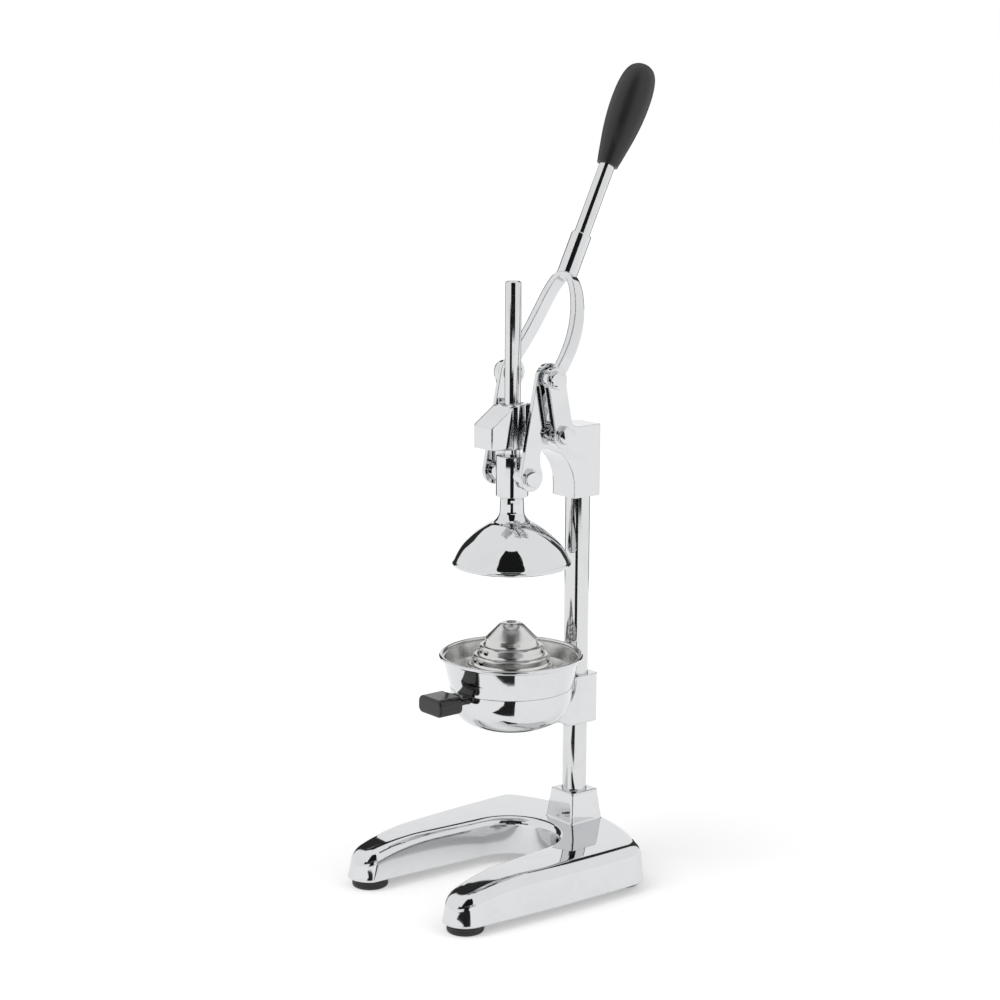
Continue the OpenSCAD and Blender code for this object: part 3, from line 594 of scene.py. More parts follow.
def baked(piece: bpy.types.Object) -> bpy.types.Object:
    """Turns a piece with its modifiers into a plain mesh.

    Args:
        piece: the piece, whose modifiers go.

    Returns:
        The same piece.
    """
    depsgraph = bpy.context.evaluated_depsgraph_get()
    mesh = bpy.data.meshes.new_from_object(piece.evaluated_get(depsgraph))
    piece.modifiers.clear()
    piece.data = mesh
    return piece


def joined(pieces: list[bpy.types.Object], name: str) -> bpy.types.Object:
    """Makes one piece of several.

    Args:
        pieces: the pieces, which leave the scene.
        name: the new piece's name.

    Returns:
        The new piece.
    """
    work = bmesh.new()
    for piece in pieces:
        work.from_mesh(piece.data)
        bpy.data.objects.remove(piece)
    mesh = finished_mesh(name, work)
    shade(mesh, SHARP_ANGLE)
    return new_piece(name, mesh)


# ---- Geometry Nodes ----


class ShapeTrees:
    """The Geometry Nodes trees that turn, repeat and place the press's pieces."""

    CORNERS_TO_FLATS = 0.57735
    CROWN_SHARE = 0.475
    CROWN_FLARE = 1.9

    def __init__(self) -> None:
        """Builds every tree."""
        self.lathe = self.lathe_tree()
        self.hex_heads = self.hex_head_tree()
        self.slots = self.slot_tree()

    def new_tree(self, name: str, sizes: dict[str, float]
                 ) -> tuple[Wiring, bpy.types.NodeOutputs, bpy.types.NodeInputs]:
        """Starts a tree with its geometry, material and size inputs.

        Args:
            name: the tree's name.
            sizes: the named size inputs and their defaults, in metres.

        Returns:
            The wiring, the group's inputs and its outputs.
        """
        w = Wiring(bpy.data.node_groups.new(name, "GeometryNodeTree"))
        w.socket("Geometry", "NodeSocketGeometry")
        for size, value in sizes.items():
            w.socket(size, "NodeSocketFloat", value)
        w.socket("Segments", "NodeSocketInt", 96)
        w.socket("Turn", "NodeSocketVector")
        w.socket("Material", "NodeSocketMaterial")
        w.socket("Geometry", "NodeSocketGeometry", output=True)
        return w, *w.ends()

    def close(self, w: Wiring, given: bpy.types.NodeOutputs, out: bpy.types.NodeInputs,
              shape: Socket) -> bpy.types.NodeTree:
        """Ends a tree in Realize Instances and Set Material.

        Args:
            w: the tree's wiring.
            given: the group's inputs.
            out: the group's outputs.
            shape: the finished geometry.

        Returns:
            The tree.
        """
        real = w.node("GeometryNodeRealizeInstances", {"Geometry": shape}).outputs[0]
        dressed = w.node("GeometryNodeSetMaterial",
                         {"Geometry": real, "Material": given["Material"]})
        w.join(dressed.outputs[0], out["Geometry"])
        return w.tree

    def lathe_tree(self) -> bpy.types.NodeTree:
        """Turns a line in the XZ plane round Z.

        Returns:
            The tree. The rows of a grid take the line's points, and its columns take the angle.
        """
        w, given, out = self.new_tree("turned_on_a_lathe", {"Merge Distance": 1e-6})
        line, segments = given["Geometry"], given["Segments"]
        count = w.node("GeometryNodeAttributeDomainSize", {"Geometry": line}).outputs[0]
        columns = w.math("ADD", segments, 1)
        grid = w.node("GeometryNodeMeshGrid", {"Vertices X": columns, "Vertices Y": count})
        index = w.node("GeometryNodeInputIndex").outputs[0]
        row = w.math("MODULO", index, count)
        column = w.math("FLOOR", w.math("DIVIDE", w.math("ADD", index, 0.5), count))
        position = w.node("GeometryNodeInputPosition").outputs[0]
        sample = w.node("GeometryNodeSampleIndex",
                        {"Geometry": line, "Index": row, "Value": position},
                        data_type="FLOAT_VECTOR", domain="POINT")
        parts = w.parts(sample.outputs[0])
        turn = w.math("DIVIDE", w.math("MULTIPLY", column, math.tau), segments)
        spot = w.vector(X=w.math("MULTIPLY", parts["X"], w.math("COSINE", turn)),
                        Y=w.math("MULTIPLY", parts["X"], w.math("SINE", turn)), Z=parts["Z"])
        placed = w.node("GeometryNodeSetPosition", {"Geometry": grid.outputs[0], "Position": spot})
        merged = w.node("GeometryNodeMergeByDistance",
                        {"Geometry": placed.outputs[0], "Distance": given["Merge Distance"]})
        return self.close(w, given, out, merged.outputs[0])

    def hex_head_tree(self) -> bpy.types.NodeTree:
        """Puts a hexagon head with a chamfered crown on every point, turned along its screw.

        Returns:
            The tree.
        """
        w, given, out = self.new_tree("hexagon_heads", {"Across Flats": 0.014, "Height": 0.0055})
        flats, height = given["Across Flats"], given["Height"]
        radius = w.math("MULTIPLY", flats, self.CORNERS_TO_FLATS)
        prism = w.node("GeometryNodeMeshCylinder",
                       {"Vertices": 6, "Radius": radius, "Depth": height})
        lifted = w.node("GeometryNodeTransform",
                        {"Geometry": prism.outputs[0],
                         "Translation": w.vector(Z=w.math("MULTIPLY", height, 0.5))})
        crown = w.math("MULTIPLY", flats, self.CROWN_SHARE)
        flare = w.math("MULTIPLY", height, self.CROWN_FLARE)
        cone = w.node("GeometryNodeMeshCone",
                      {"Vertices": 64, "Radius Top": crown,
                       "Radius Bottom": w.math("ADD", crown, flare), "Depth": height})
        head = w.node("GeometryNodeMeshBoolean", operation="INTERSECT", solver="EXACT")
        for solid in (lifted, cone):
            w.join(solid.outputs[0], head.inputs["Mesh 2"])
        turned = w.node("FunctionNodeEulerToRotation", {0: given["Turn"]})
        spread = w.node("GeometryNodeInstanceOnPoints",
                        {"Points": given["Geometry"], "Instance": head.outputs[0],
                         "Rotation": turned.outputs[0]})
        return self.close(w, given, out, spread.outputs[0])

    def slot_tree(self) -> bpy.types.NodeTree:
        """Puts a long low drop on every point, faced away from the axis: a slot or its lip.

        Returns:
            The tree.
        """
        w, given, out = self.new_tree("slots_round_the_cone",
                                      {"Length": 0.008, "Depth": 0.003, "Height": 0.002})
        ball = w.node("GeometryNodeMeshUVSphere", {"Segments": 20, "Rings": 10, "Radius": 0.5})
        size = w.vector(X=given["Depth"], Y=given["Length"], Z=given["Height"])
        parts = w.parts(w.node("GeometryNodeInputPosition").outputs[0])
        turn = w.vector(Z=w.math("ARCTAN2", parts["Y"], parts["X"]))
        turned = w.node("FunctionNodeEulerToRotation", {0: turn})
        spread = w.node("GeometryNodeInstanceOnPoints",
                        {"Points": given["Geometry"], "Instance": ball.outputs[0],
                         "Rotation": turned.outputs[0], "Scale": size})
        return self.close(w, given, out, spread.outputs[0])

    def run(self, tree: bpy.types.NodeTree, base: bpy.types.Mesh, name: str,
            **inputs: object) -> bpy.types.Object:
        """Runs a tree on a mesh.

        Args:
            tree: one of this class's trees.
            base: the line or points that it works on.
            name: the piece's name.
            inputs: values by the input's name, with _ for a space.

        Returns:
            The result as a plain mesh's object.
        """
        piece = new_piece(name, base)
        modifier = piece.modifiers.new(tree.name, "NODES")
        modifier.node_group = tree
        wanted = {key.replace("_", " "): value for key, value in inputs.items()}
        for item in tree.interface.items_tree:
            if item.in_out == "INPUT" and item.name in wanted:
                modifier[item.identifier] = wanted[item.name]
        return baked(piece)


# ---- The workshop: makes pieces and hands them to the frame ----


class Workshop:
    """Holds the frame, the finishes and the trees, and finishes pieces."""

    INWARD, LEVEL = -0.001, 0.9
    FLAT_ANGLE, EASED_SHARP_ANGLE, FLAT_WEIGHT = 0.4, 40.0, 60

    def __init__(self, frame: dict) -> None:
        """Keeps the frame and reads the places that the pieces share, in millimetres.
        """
        self.nodes: dict[str, bpy.types.Object] = frame["nodes"]
        self.body_of = {node: body for body, nodes in frame["record"]["behaviour"]["bodies"].items()
                        for node in nodes}
        self.trees = ShapeTrees()
        self.column_y = middle_of("column")[1]
        self.press_y = middle_of("plunger_rod")[1]
        self.link_top = middle_of("link_spacers")[1:]
        self.pivot = middle_of("lever_pivot_screw_right")[1:]
        self.link_foot = middle_of("crosshead_screw_right")[1:]
        self.lever_lean = math.radians(26)
        self.coats = self.build_coats()
        self.count = 0

    def build_coats(self) -> dict[str, bpy.types.Material]:
        """Builds the finishes, some of them once for each axis that their tool lines run round.

        Returns:
            The materials by their names.
        """
        effects = SurfaceEffects()
        chrome = {"colour": (0.69, 0.70, 0.71), "dull_colour": (0.60, 0.61, 0.625)}
        steel = {"colour": (0.68, 0.685, 0.69), "dull_colour": (0.58, 0.585, 0.59)}
        ground = {"line_height": 0.001, "line_scale": 1400.0}
        press, column = self.press_y * MM, self.column_y * MM
        top_y, top_z = (place * MM for place in self.link_top)
        made = {
            "cast_chrome": MetalFinish(**chrome, smooth=0.035, dull=0.10, wave_height=0.05,
                                       edge_round=2.4),
            "small_chrome": MetalFinish(**chrome, smooth=0.03, dull=0.09, edge_round=0.9),
            "bell_chrome": MetalFinish(**chrome, smooth=0.03, dull=0.09, line_height=0.0004,
                                       axis_y=press),
            "bowl_chrome": MetalFinish(**chrome, smooth=0.04, dull=0.11, wave_height=0.03,
                                       line_height=0.0008, axis_y=press),
            "column_chrome": MetalFinish(**steel, **ground, smooth=0.05, dull=0.13,
                                         wave_height=0.01, axis_y=column),
            "rod_steel": MetalFinish(**steel, **ground, smooth=0.045, dull=0.12,
                                     wave_height=0.008, axis_y=press),
            "shaft_steel": MetalFinish(**steel, **ground, smooth=0.07, dull=0.15, wave_height=0.01,
                                       axis_y=top_y, axis_z=top_z, lean=self.lever_lean),
            "satin_steel": MetalFinish(colour=(0.66, 0.66, 0.65), dull_colour=(0.56, 0.56, 0.56),
                                       smooth=0.19, dull=0.30, line_height=0.004,
                                       line_scale=1100.0, axis_y=press),
            "zinc_steel": MetalFinish(colour=(0.62, 0.62, 0.60), dull_colour=(0.45, 0.45, 0.44),
                                      smooth=0.16, dull=0.34),
            "bronze": MetalFinish(colour=(0.63, 0.42, 0.22), dull_colour=(0.42, 0.27, 0.15),
                                  smooth=0.2, dull=0.4, line_height=0.002, axis_y=press),
            "grip_plastic": MouldedFinish(colour=(0.010, 0.010, 0.011),
                                          dusty_colour=(0.030, 0.030, 0.031), smooth=0.42,
                                          dull=0.55, grain_height=0.05, grain_scale=900.0),
            "tab_plastic": MouldedFinish(colour=(0.008, 0.008, 0.008),
                                         dusty_colour=(0.022, 0.022, 0.022), smooth=0.16,
                                         dull=0.27, grain_height=0.004, grain_scale=700.0),
            "rubber": MouldedFinish(colour=(0.014, 0.014, 0.014), dusty_colour=(0.05, 0.05, 0.048),
                                    smooth=0.5, dull=0.7, grain_height=0.02, grain_scale=1100.0),
        }
        return {name: finish.build(name, effects) for name, finish in made.items()}

    def hand_over(self, piece: bpy.types.Object, node: str, coat: Coat, material: str,
                  inside: str = "") -> None:
        """Dresses a piece, makes it ride on its body and lets it stand for its node.

        Args:
            piece: the finished piece.
            node: the CAD node that it replaces.
            coat: the record's finish; not used.
            material: the name of the material.
            inside: the name of another material, for faces that look to the press axis or up.
        """
        piece.data.materials.clear()
        piece.data.materials.append(self.coats[material])
        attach(piece, self.body_of[node])
        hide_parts(node)
        if inside:
            piece.data.materials.append(self.coats[inside])
            for face in piece.data.polygons:
                out = Vector((face.center.x, face.center.y - self.press_y * MM, 0.0))
                looks_in = out.dot(face.normal) < self.INWARD or face.normal.z > self.LEVEL
                face.material_index = int(looks_in)
        self.count += 1
        LOG.info("%s stands for %s: %d faces, %s", piece.name, node, len(piece.data.polygons),
                 material)

    def hand_over_copies(self, nodes: Sequence[str], width: float, coat: Coat, material: str
                         ) -> None:
        """Hands over copies of the CAD nodes with eased edges.

        Args:
            nodes: the CAD nodes.
            width: the width of the eased edges, in millimetres.
            coat: the record's finish.
            material: the name of the material.
        """
        for node in nodes:
            self.hand_over(self.eased_copy(node, width), node, coat, material)

    def turned(self, name: str, line: Line, place: Matrix, segments: int = 128) -> bpy.types.Object:
        """Turns a line of [radius, height] points on the lathe.

        Args:
            name: the piece's name.
            line: the outline, in millimetres, open at the axis or closed on itself.
            place: where the axis stands, as a matrix in metres.
            segments: faces round the axis.

        Returns:
            The turned piece, in its place.
        """
        mesh = drawn_mesh(name, [(max(r, 0.0) * MM, 0.0, z * MM) for r, z in line],
                          edges=[(i, i + 1) for i in range(len(line) - 1)])
        piece = self.trees.run(self.trees.lathe, mesh, name, Segments=segments, Merge_Distance=1e-6)
        piece.data.transform(place)
        clean_mesh(piece.data)
        return piece

    def on_axis(self, y: float, z: float = 0.0) -> Matrix:
        """An upright axis at y, from the height z, both in millimetres."""
        return Matrix.Translation((0.0, y * MM, z * MM))

    def on_hinge(self, place: Point, side: int) -> Matrix:
        """A hinge's axis at its y and z in millimetres, to the left for -1 or the right for 1."""
        return self.on_axis(*place) @ Matrix.Rotation(side * math.pi / 2, 4, "Y")

    def eased_copy(self, node: str, width: float, angle: float = 35.0, segments: int = 3,
                   clamp: bool = True) -> bpy.types.Object:
        """Copies a CAD node's mesh, merges it and eases its edges.

        Args:
            node: the CAD node.
            width: the width of the eased edges, in millimetres.
            angle: the angle in degrees past which an edge is eased.
            segments: faces across an eased edge.
            clamp: whether short edges limit the width.

        Returns:
            The eased piece.
        """
        piece = new_piece(f"{node}_eased", self.nodes[node].data.copy())
        work = bmesh.new()
        work.from_mesh(piece.data)
        bmesh.ops.remove_doubles(work, verts=work.verts, dist=MERGE_DISTANCE)
        bmesh.ops.dissolve_limit(work, angle_limit=math.radians(self.FLAT_ANGLE), verts=work.verts,
                                 edges=work.edges)
        work.to_mesh(piece.data)
        work.free()
        bevel = piece.modifiers.new("eased_edges", "BEVEL")
        bevel.width, bevel.segments = width * MM, segments
        bevel.limit_method, bevel.angle_limit = "ANGLE", math.radians(angle)
        bevel.miter_outer, bevel.use_clamp_overlap = "MITER_ARC", clamp
        baked(piece)
        shade(piece.data, self.EASED_SHARP_ANGLE)
        weighted = piece.modifiers.new("flat_faces_stay_flat", "WEIGHTED_NORMAL")
        weighted.keep_sharp, weighted.weight = True, self.FLAT_WEIGHT
        return baked(piece)


# ---- Sub-assemblies ----


@dataclass
class BaseFrame:
    """The U-shaped casting on its feet, with the column's socket. Sizes are in millimetres."""

    shop: Workshop
    width: float = 196.0
    leg_reach: float = 201.0
    back: float = 30.0
    leg_width: float = 40.0
    foot_inset: float = 30.0
    height: float = 34.0
    tip_height: float = 27.0
    wall: float = 5.0
    arc_radius: float = 41.0
    press_reach: float = 76.0
    rear_radius: float = 170.0
    corner: float = 22.0
    tip_share: float = 0.93
    tip_drop: float = 54.0
    draft: float = 2.5
    crown: float = 11.0
    arc_crown: float = 8.0
    crown_power: int = 3
    hollow_share: float = 0.6
    least_crown: float = 0.8
    wall_share: float = 0.86
    socket_top: float = 31.0
    socket_foot: float = 37.0
    socket_height: float = 27.5
    socket_sunk: float = 8.0
    socket_corner: float = 3.0
    socket_ease: float = 1.4
    bore_radius: float = 11.05
    bore_ease: float = 0.5
    boss_radius: float = 8.5
    boss_bore: float = 2.6
    boss_top: float = 33.0
    tube_radius: float = 18.0
    tube_bore: float = 14.0
    tube_top: float = 38.0
    foot_height: float = 9.0
    foot_radius: float = 16.0
    foot_bore: float = 2.5
    foot_recess: float = 5.75
    recess_depth: float = 4.5
    foot_grooves: tuple[float, ...] = (3.4, 6.2)
    edge_steps: int = 14
    wall_steps: int = 18
    tip_steps: int = 26
    corner_steps: int = 8
    levels: int = 13

    def __post_init__(self) -> None:
        """Works out the places that the outline's formulas share."""
        self.half = self.width / 2
        self.tip_radius = self.leg_width / 2
        self.tip = Vector((self.half - self.foot_inset, self.tip_radius - self.leg_reach))
        self.rear_turn = math.asin((self.half - self.corner) / (self.rear_radius - self.corner))
        self.rear_centre = Vector((0.0, self.back - self.rear_radius))
        self.corner_centre = self.rear_centre + (self.rear_radius - self.corner) * Vector(
            (math.sin(self.rear_turn), math.cos(self.rear_turn)))
        self.wall_lean = -math.atan2(2 * (self.foot_inset - self.tip_radius),
                                     self.corner_centre.y - self.tip.y)
        self.arc_centre = Vector((0.0, -self.press_reach))
        self.tip_to_flank = self.tip_share * self.tip_radius
        way = self.tip - self.arc_centre
        self.flank_lean = math.atan2(way.y, way.x) + math.acos(
            (self.arc_radius + self.tip_to_flank) / way.length)
        self.flank_way = Vector((math.sin(self.flank_lean), -math.cos(self.flank_lean)))
        self.rear_steps = 2 * self.edge_steps
        self.steps = self.rear_steps + self.wall_steps + self.tip_steps
        self.place = Vector((0.0, self.shop.column_y, self.foot_height))

    def tip_point(self, inset: float, angle: float) -> Vector:
        """A point of the leg's round tip, at an angle in radians."""
        return self.tip + (self.tip_radius - inset) * Vector((math.cos(angle), math.sin(angle)))

    def tip_edge(self, inset: float, inner_inset: float) -> float:
        """The angle at which the inner flank meets the round tip."""
        reach = self.tip_to_flank - inner_inset
        return self.flank_lean - math.pi + math.acos(reach / (self.tip_radius - inset))

    def outer_point(self, step: int, inset: float, edge: float) -> Vector:
        """A point of the outer edge, from the middle of the rear to the tip's inner edge.

        Args:
            step: the step along the edge.
            inset: how far the point is moved in.
            edge: the angle of the tip's inner edge, in radians.

        Returns:
            The point, from the column's axis.
        """
        if step <= self.edge_steps:
            turn = self.rear_turn * step / self.edge_steps
            way = Vector((math.sin(turn), math.cos(turn)))
            return self.rear_centre + (self.rear_radius - inset) * way
        if step <= self.rear_steps:
            turn = (math.pi / 2 - self.rear_turn) * (2 - step / self.edge_steps)
            way = Vector((math.cos(turn), math.sin(turn)))
            return self.corner_centre + (self.corner - inset) * way
        along = step - self.rear_steps
        if along <= self.wall_steps:
            share = along / self.wall_steps
            start = Vector((self.half - inset, self.corner_centre.y))
            way = self.tip_point(inset, self.wall_lean) - start
            return start + Vector((way.x * share**2, way.y * share))
        share = (along - self.wall_steps) / self.tip_steps
        return self.tip_point(inset, self.wall_lean * (1 - share) + edge * share)

    def flank_share(self, step: int) -> float:
        """How far along the straight inner flank a step lies.

        Args:
            step: the step along the edge.

        Returns:
            The share, from 0 to 1, and less than 0 before the flank.
        """
        along = step - self.rear_steps
        if along <= self.wall_steps:
            return self.wall_share * along / self.wall_steps
        return self.wall_share + (1 - self.wall_share) * (along - self.wall_steps) / self.tip_steps

    def inner_point(self, step: int, inset: float, flank_length: float) -> Vector:
        """A point of the inner edge, from the middle of the arc to the same tip edge.

        Args:
            step: the step along the edge.
            inset: how far the point is moved into the leg.
            flank_length: the length of the straight flank.

        Returns:
            The point, from the column's axis.
        """
        share = min(step / self.rear_steps, 1)
        turn = math.pi / 2 + (self.flank_lean - math.pi / 2) * share
        way = Vector((math.cos(turn), math.sin(turn)))
        point = self.arc_centre + (self.arc_radius + inset) * way
        if step > self.rear_steps:
            point += self.flank_way * flank_length * self.flank_share(step)
        return point

    def inner_crown(self, step: int) -> float:
        """The inner edge's rounding, which grows towards the tip."""
        share = max(self.flank_share(step), 0.0)
        return self.arc_crown + (self.crown - self.arc_crown) * share**self.crown_power

    def top_height(self, y: float) -> float:
        """The height of the base's top, which falls away towards the tips."""
        fall = max(0.0, (self.tip.y + self.tip_drop - y) / self.tip_drop)
        return self.height - (self.height - self.tip_height) * fall**2

    def side(self, step: int, outside: bool, wall: float) -> list[Vector]:
        """One side of the section at a step, from its foot up to the top.

        Args:
            step: the step along the edge.
            outside: whether it is the outer side.
            wall: how far it is moved in, 0 for the skin and the wall's thickness for the hollow.

        Returns:
            The side's points, from the column's axis.
        """
        points = []
        less = wall * self.hollow_share
        tip_crown = max(self.crown - less, self.least_crown)
        crown = max((self.crown if outside else self.inner_crown(step)) - less, self.least_crown)
        for level in range(self.levels + 1):
            foot = level == 0
            turn = math.radians(90 * max(level - 1, 0) / (self.levels - 1))
            curl = 1 - math.cos(turn)
            out = wall + (0 if foot else self.draft + tip_crown * curl)
            tip_in = wall + (0 if foot else self.draft / 2 + tip_crown * curl)
            edge = self.tip_edge(out, tip_in)
            if outside:
                spot = self.outer_point(step, out, edge)
            else:
                length = (self.tip_point(out, edge) - self.arc_centre).dot(self.flank_way)
                inset = wall + (0 if foot else self.draft / 2 + crown * curl)
                spot = self.inner_point(step, inset, length)
            top = self.top_height(spot.y) - wall
            z = 0.0 if foot else top - crown + crown * math.sin(turn)
            points.append(Vector((spot.x, spot.y, z)))
        return points

    def body(self) -> bpy.types.Mesh:
        """The casting's skin and hollow: the right half's sections, joined, and their mirror.

        Returns:
            The mesh.
        """
        work = bmesh.new()
        loops = []
        for step in range(self.steps + 1):
            skin_out, skin_in, hollow_out, hollow_in = (
                self.side(step, outside, wall) for wall in (0.0, self.wall)
                for outside in (True, False))
            section = skin_out + skin_in[::-1] + hollow_in + hollow_out[::-1]
            loops.append([work.verts.new((p + self.place) * MM) for p in section])
        bridge(work, loops)
        whole = work.verts[:] + work.edges[:] + work.faces[:]
        copy = bmesh.ops.duplicate(work, geom=whole)["geom"]
        for part in copy:
            if isinstance(part, bmesh.types.BMVert):
                part.co.x = -part.co.x
        faces = [part for part in copy if isinstance(part, bmesh.types.BMFace)]
        bmesh.ops.reverse_faces(work, faces=faces)
        return finished_mesh("base_body", work)

    def socket_ring(self, half: float, z: float) -> list[Vector]:
        """A level ring of the socket, which is a square with round corners.

        Args:
            half: half the square's width.
            z: its height.

        Returns:
            The ring's points, from the column's axis.
        """
        corner, ring = self.socket_corner, []
        for quarter, (sx, sy) in enumerate(((1, 1), (-1, 1), (-1, -1), (1, -1))):
            for k in range(self.corner_steps + 1):
                turn = math.radians(90 * (quarter + k / self.corner_steps))
                ring.append(Vector((sx * (half - corner) + corner * math.cos(turn),
                                    sy * (half - corner) + corner * math.sin(turn), z)))
        return ring

    def socket(self) -> bpy.types.Mesh:
        """The four-sided socket that holds the column, with round corners and an eased top.

        Returns:
            The mesh.
        """
        top, foot, ease = self.socket_top / 2, self.socket_foot / 2, self.socket_ease
        low, high = self.height - self.socket_sunk, self.height + self.socket_height
        taper = self.socket_height - ease
        levels = [(foot, low), (foot, self.height - 1)]
        levels += [(foot + (top - foot) * t, self.height + taper * t) for t in (0.08, 0.5, 1.0)]
        levels += [(top - ease * (1 - math.cos(a)), high - ease + ease * math.sin(a))
                   for a in (0.4, 0.8, 1.2, math.pi / 2)]
        rings = [self.socket_ring(half, z) for half, z in levels]
        turns = [math.atan2(spot.y, spot.x) for spot in rings[-3]]
        bore, edge = self.bore_radius, self.bore_ease
        for radius, z in ((bore + edge, high), (bore, high - edge), (bore, high - 8)):
            rings.append([Vector((radius * math.cos(turn), radius * math.sin(turn), z))
                          for turn in turns])
        work = bmesh.new()
        bridge(work, [[work.verts.new((spot + self.place) * MM) for spot in ring]
                      for ring in rings])
        return finished_mesh("socket", work)

    def foot_and_boss(self, node: str) -> bpy.types.Object:
        """Hands over a foot and makes the boss above it, which its screw goes in.

        Args:
            node: the foot's CAD node.

        Returns:
            The boss.
        """
        x, y, _ = middle_of(node)
        place = Matrix.Translation((x * MM, y * MM, 0.0))
        r, low, top = self.boss_radius, self.foot_height, self.boss_top
        line = [(self.boss_bore, low), (r - 0.3, low), (r, low + 0.3), (r, top), (0.0, top)]
        boss = self.shop.turned(f"boss_of_{node}", line, place, 48)
        sole = self.foot_line(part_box(node)[1].z / MM)
        foot = self.shop.turned(f"{node}_moulded", sole, place, 72)
        self.shop.hand_over(foot, node, Coat.RUBBER, "rubber")
        return boss

    def foot_line(self, height: float) -> Line:
        """A foot's outline, with grip grooves in its side and a hollow round its screw.

        Args:
            height: the foot's height.

        Returns:
            The outline as [radius, height] points.
        """
        r, hollow, depth = self.foot_radius, self.foot_recess, self.recess_depth
        line = [(hollow, depth), (hollow, 0.6), (hollow + 0.6, 0.0), (r - 1.5, 0.0),
                (r - 0.4, 0.6), (r, 1.6)]
        for z in self.foot_grooves:
            line += [(r, z), (r - 0.4, z + 0.3), (r - 0.4, z + 0.7), (r, z + 1.0)]
        line += [(r, height), (self.foot_bore, height), (self.foot_bore, depth), (hollow, depth)]
        return rounded_line(line, 0.5, 3)

    def build(self) -> None:
        """Builds and hands over the base, its feet and its screws."""
        shop = self.shop
        pieces = [new_piece("base_body", self.body()), new_piece("column_socket", self.socket())]
        for piece in pieces:
            clean_mesh(piece.data)
        bosses = [self.foot_and_boss(f"foot_{end}_{side}") for end in ("front", "rear")
                  for side in ("left", "right")]
        bore, r, low, top = self.tube_bore, self.tube_radius, self.foot_height, self.tube_top
        line = [(bore, low + 0.5), (r, low), (r, top), (bore, top), (bore, low + 0.5)]
        pieces.append(shop.turned("column_tube", line, shop.on_axis(shop.column_y), 48))
        base = joined(pieces + bosses, "base_casting_polished")
        shop.hand_over(base, "base_casting", Coat.CHROME, "cast_chrome")
        shop.hand_over_copies(("foot_screws", "column_bolt", "column_washer"), 0.25, Coat.ZINC,
                              "zinc_steel")


@dataclass
class Column:
    """The upright column, the bowls' bracket and the head casting. Sizes are in millimetres."""

    shop: Workshop
    diameter: float = 22.0
    foot_z: float = 26.0
    top_z: float = 397.0
    tapped_radius: float = 5.0
    tapped_depth: float = 20.0

    def build(self) -> None:
        """Builds and hands over the column and what is clamped on it."""
        shop = self.shop
        r, bore, foot, end = self.diameter / 2, self.tapped_radius, self.foot_z, self.tapped_depth
        line = rounded_line([(0.0, foot + end + 4), (bore, foot + end), (bore, foot), (r, foot),
                             (r, foot + 2 * end), (r, self.top_z), (0.0, self.top_z)], 0.8)
        column = shop.turned("column_ground", line, shop.on_axis(shop.column_y))
        shop.hand_over(column, "column", Coat.CHROME, "column_chrome")
        shop.hand_over_copies(("bowl_bracket",), 1.6, Coat.CHROME, "cast_chrome")
        shop.hand_over_copies(("head_casting",), 2.0, Coat.CHROME, "cast_chrome")
        shop.hand_over_copies(("bracket_screws", "head_screws"), 0.2, Coat.ZINC, "zinc_steel")
        shop.hand_over_copies(("guide_bushes",), 0.3, Coat.BRONZE, "bronze")


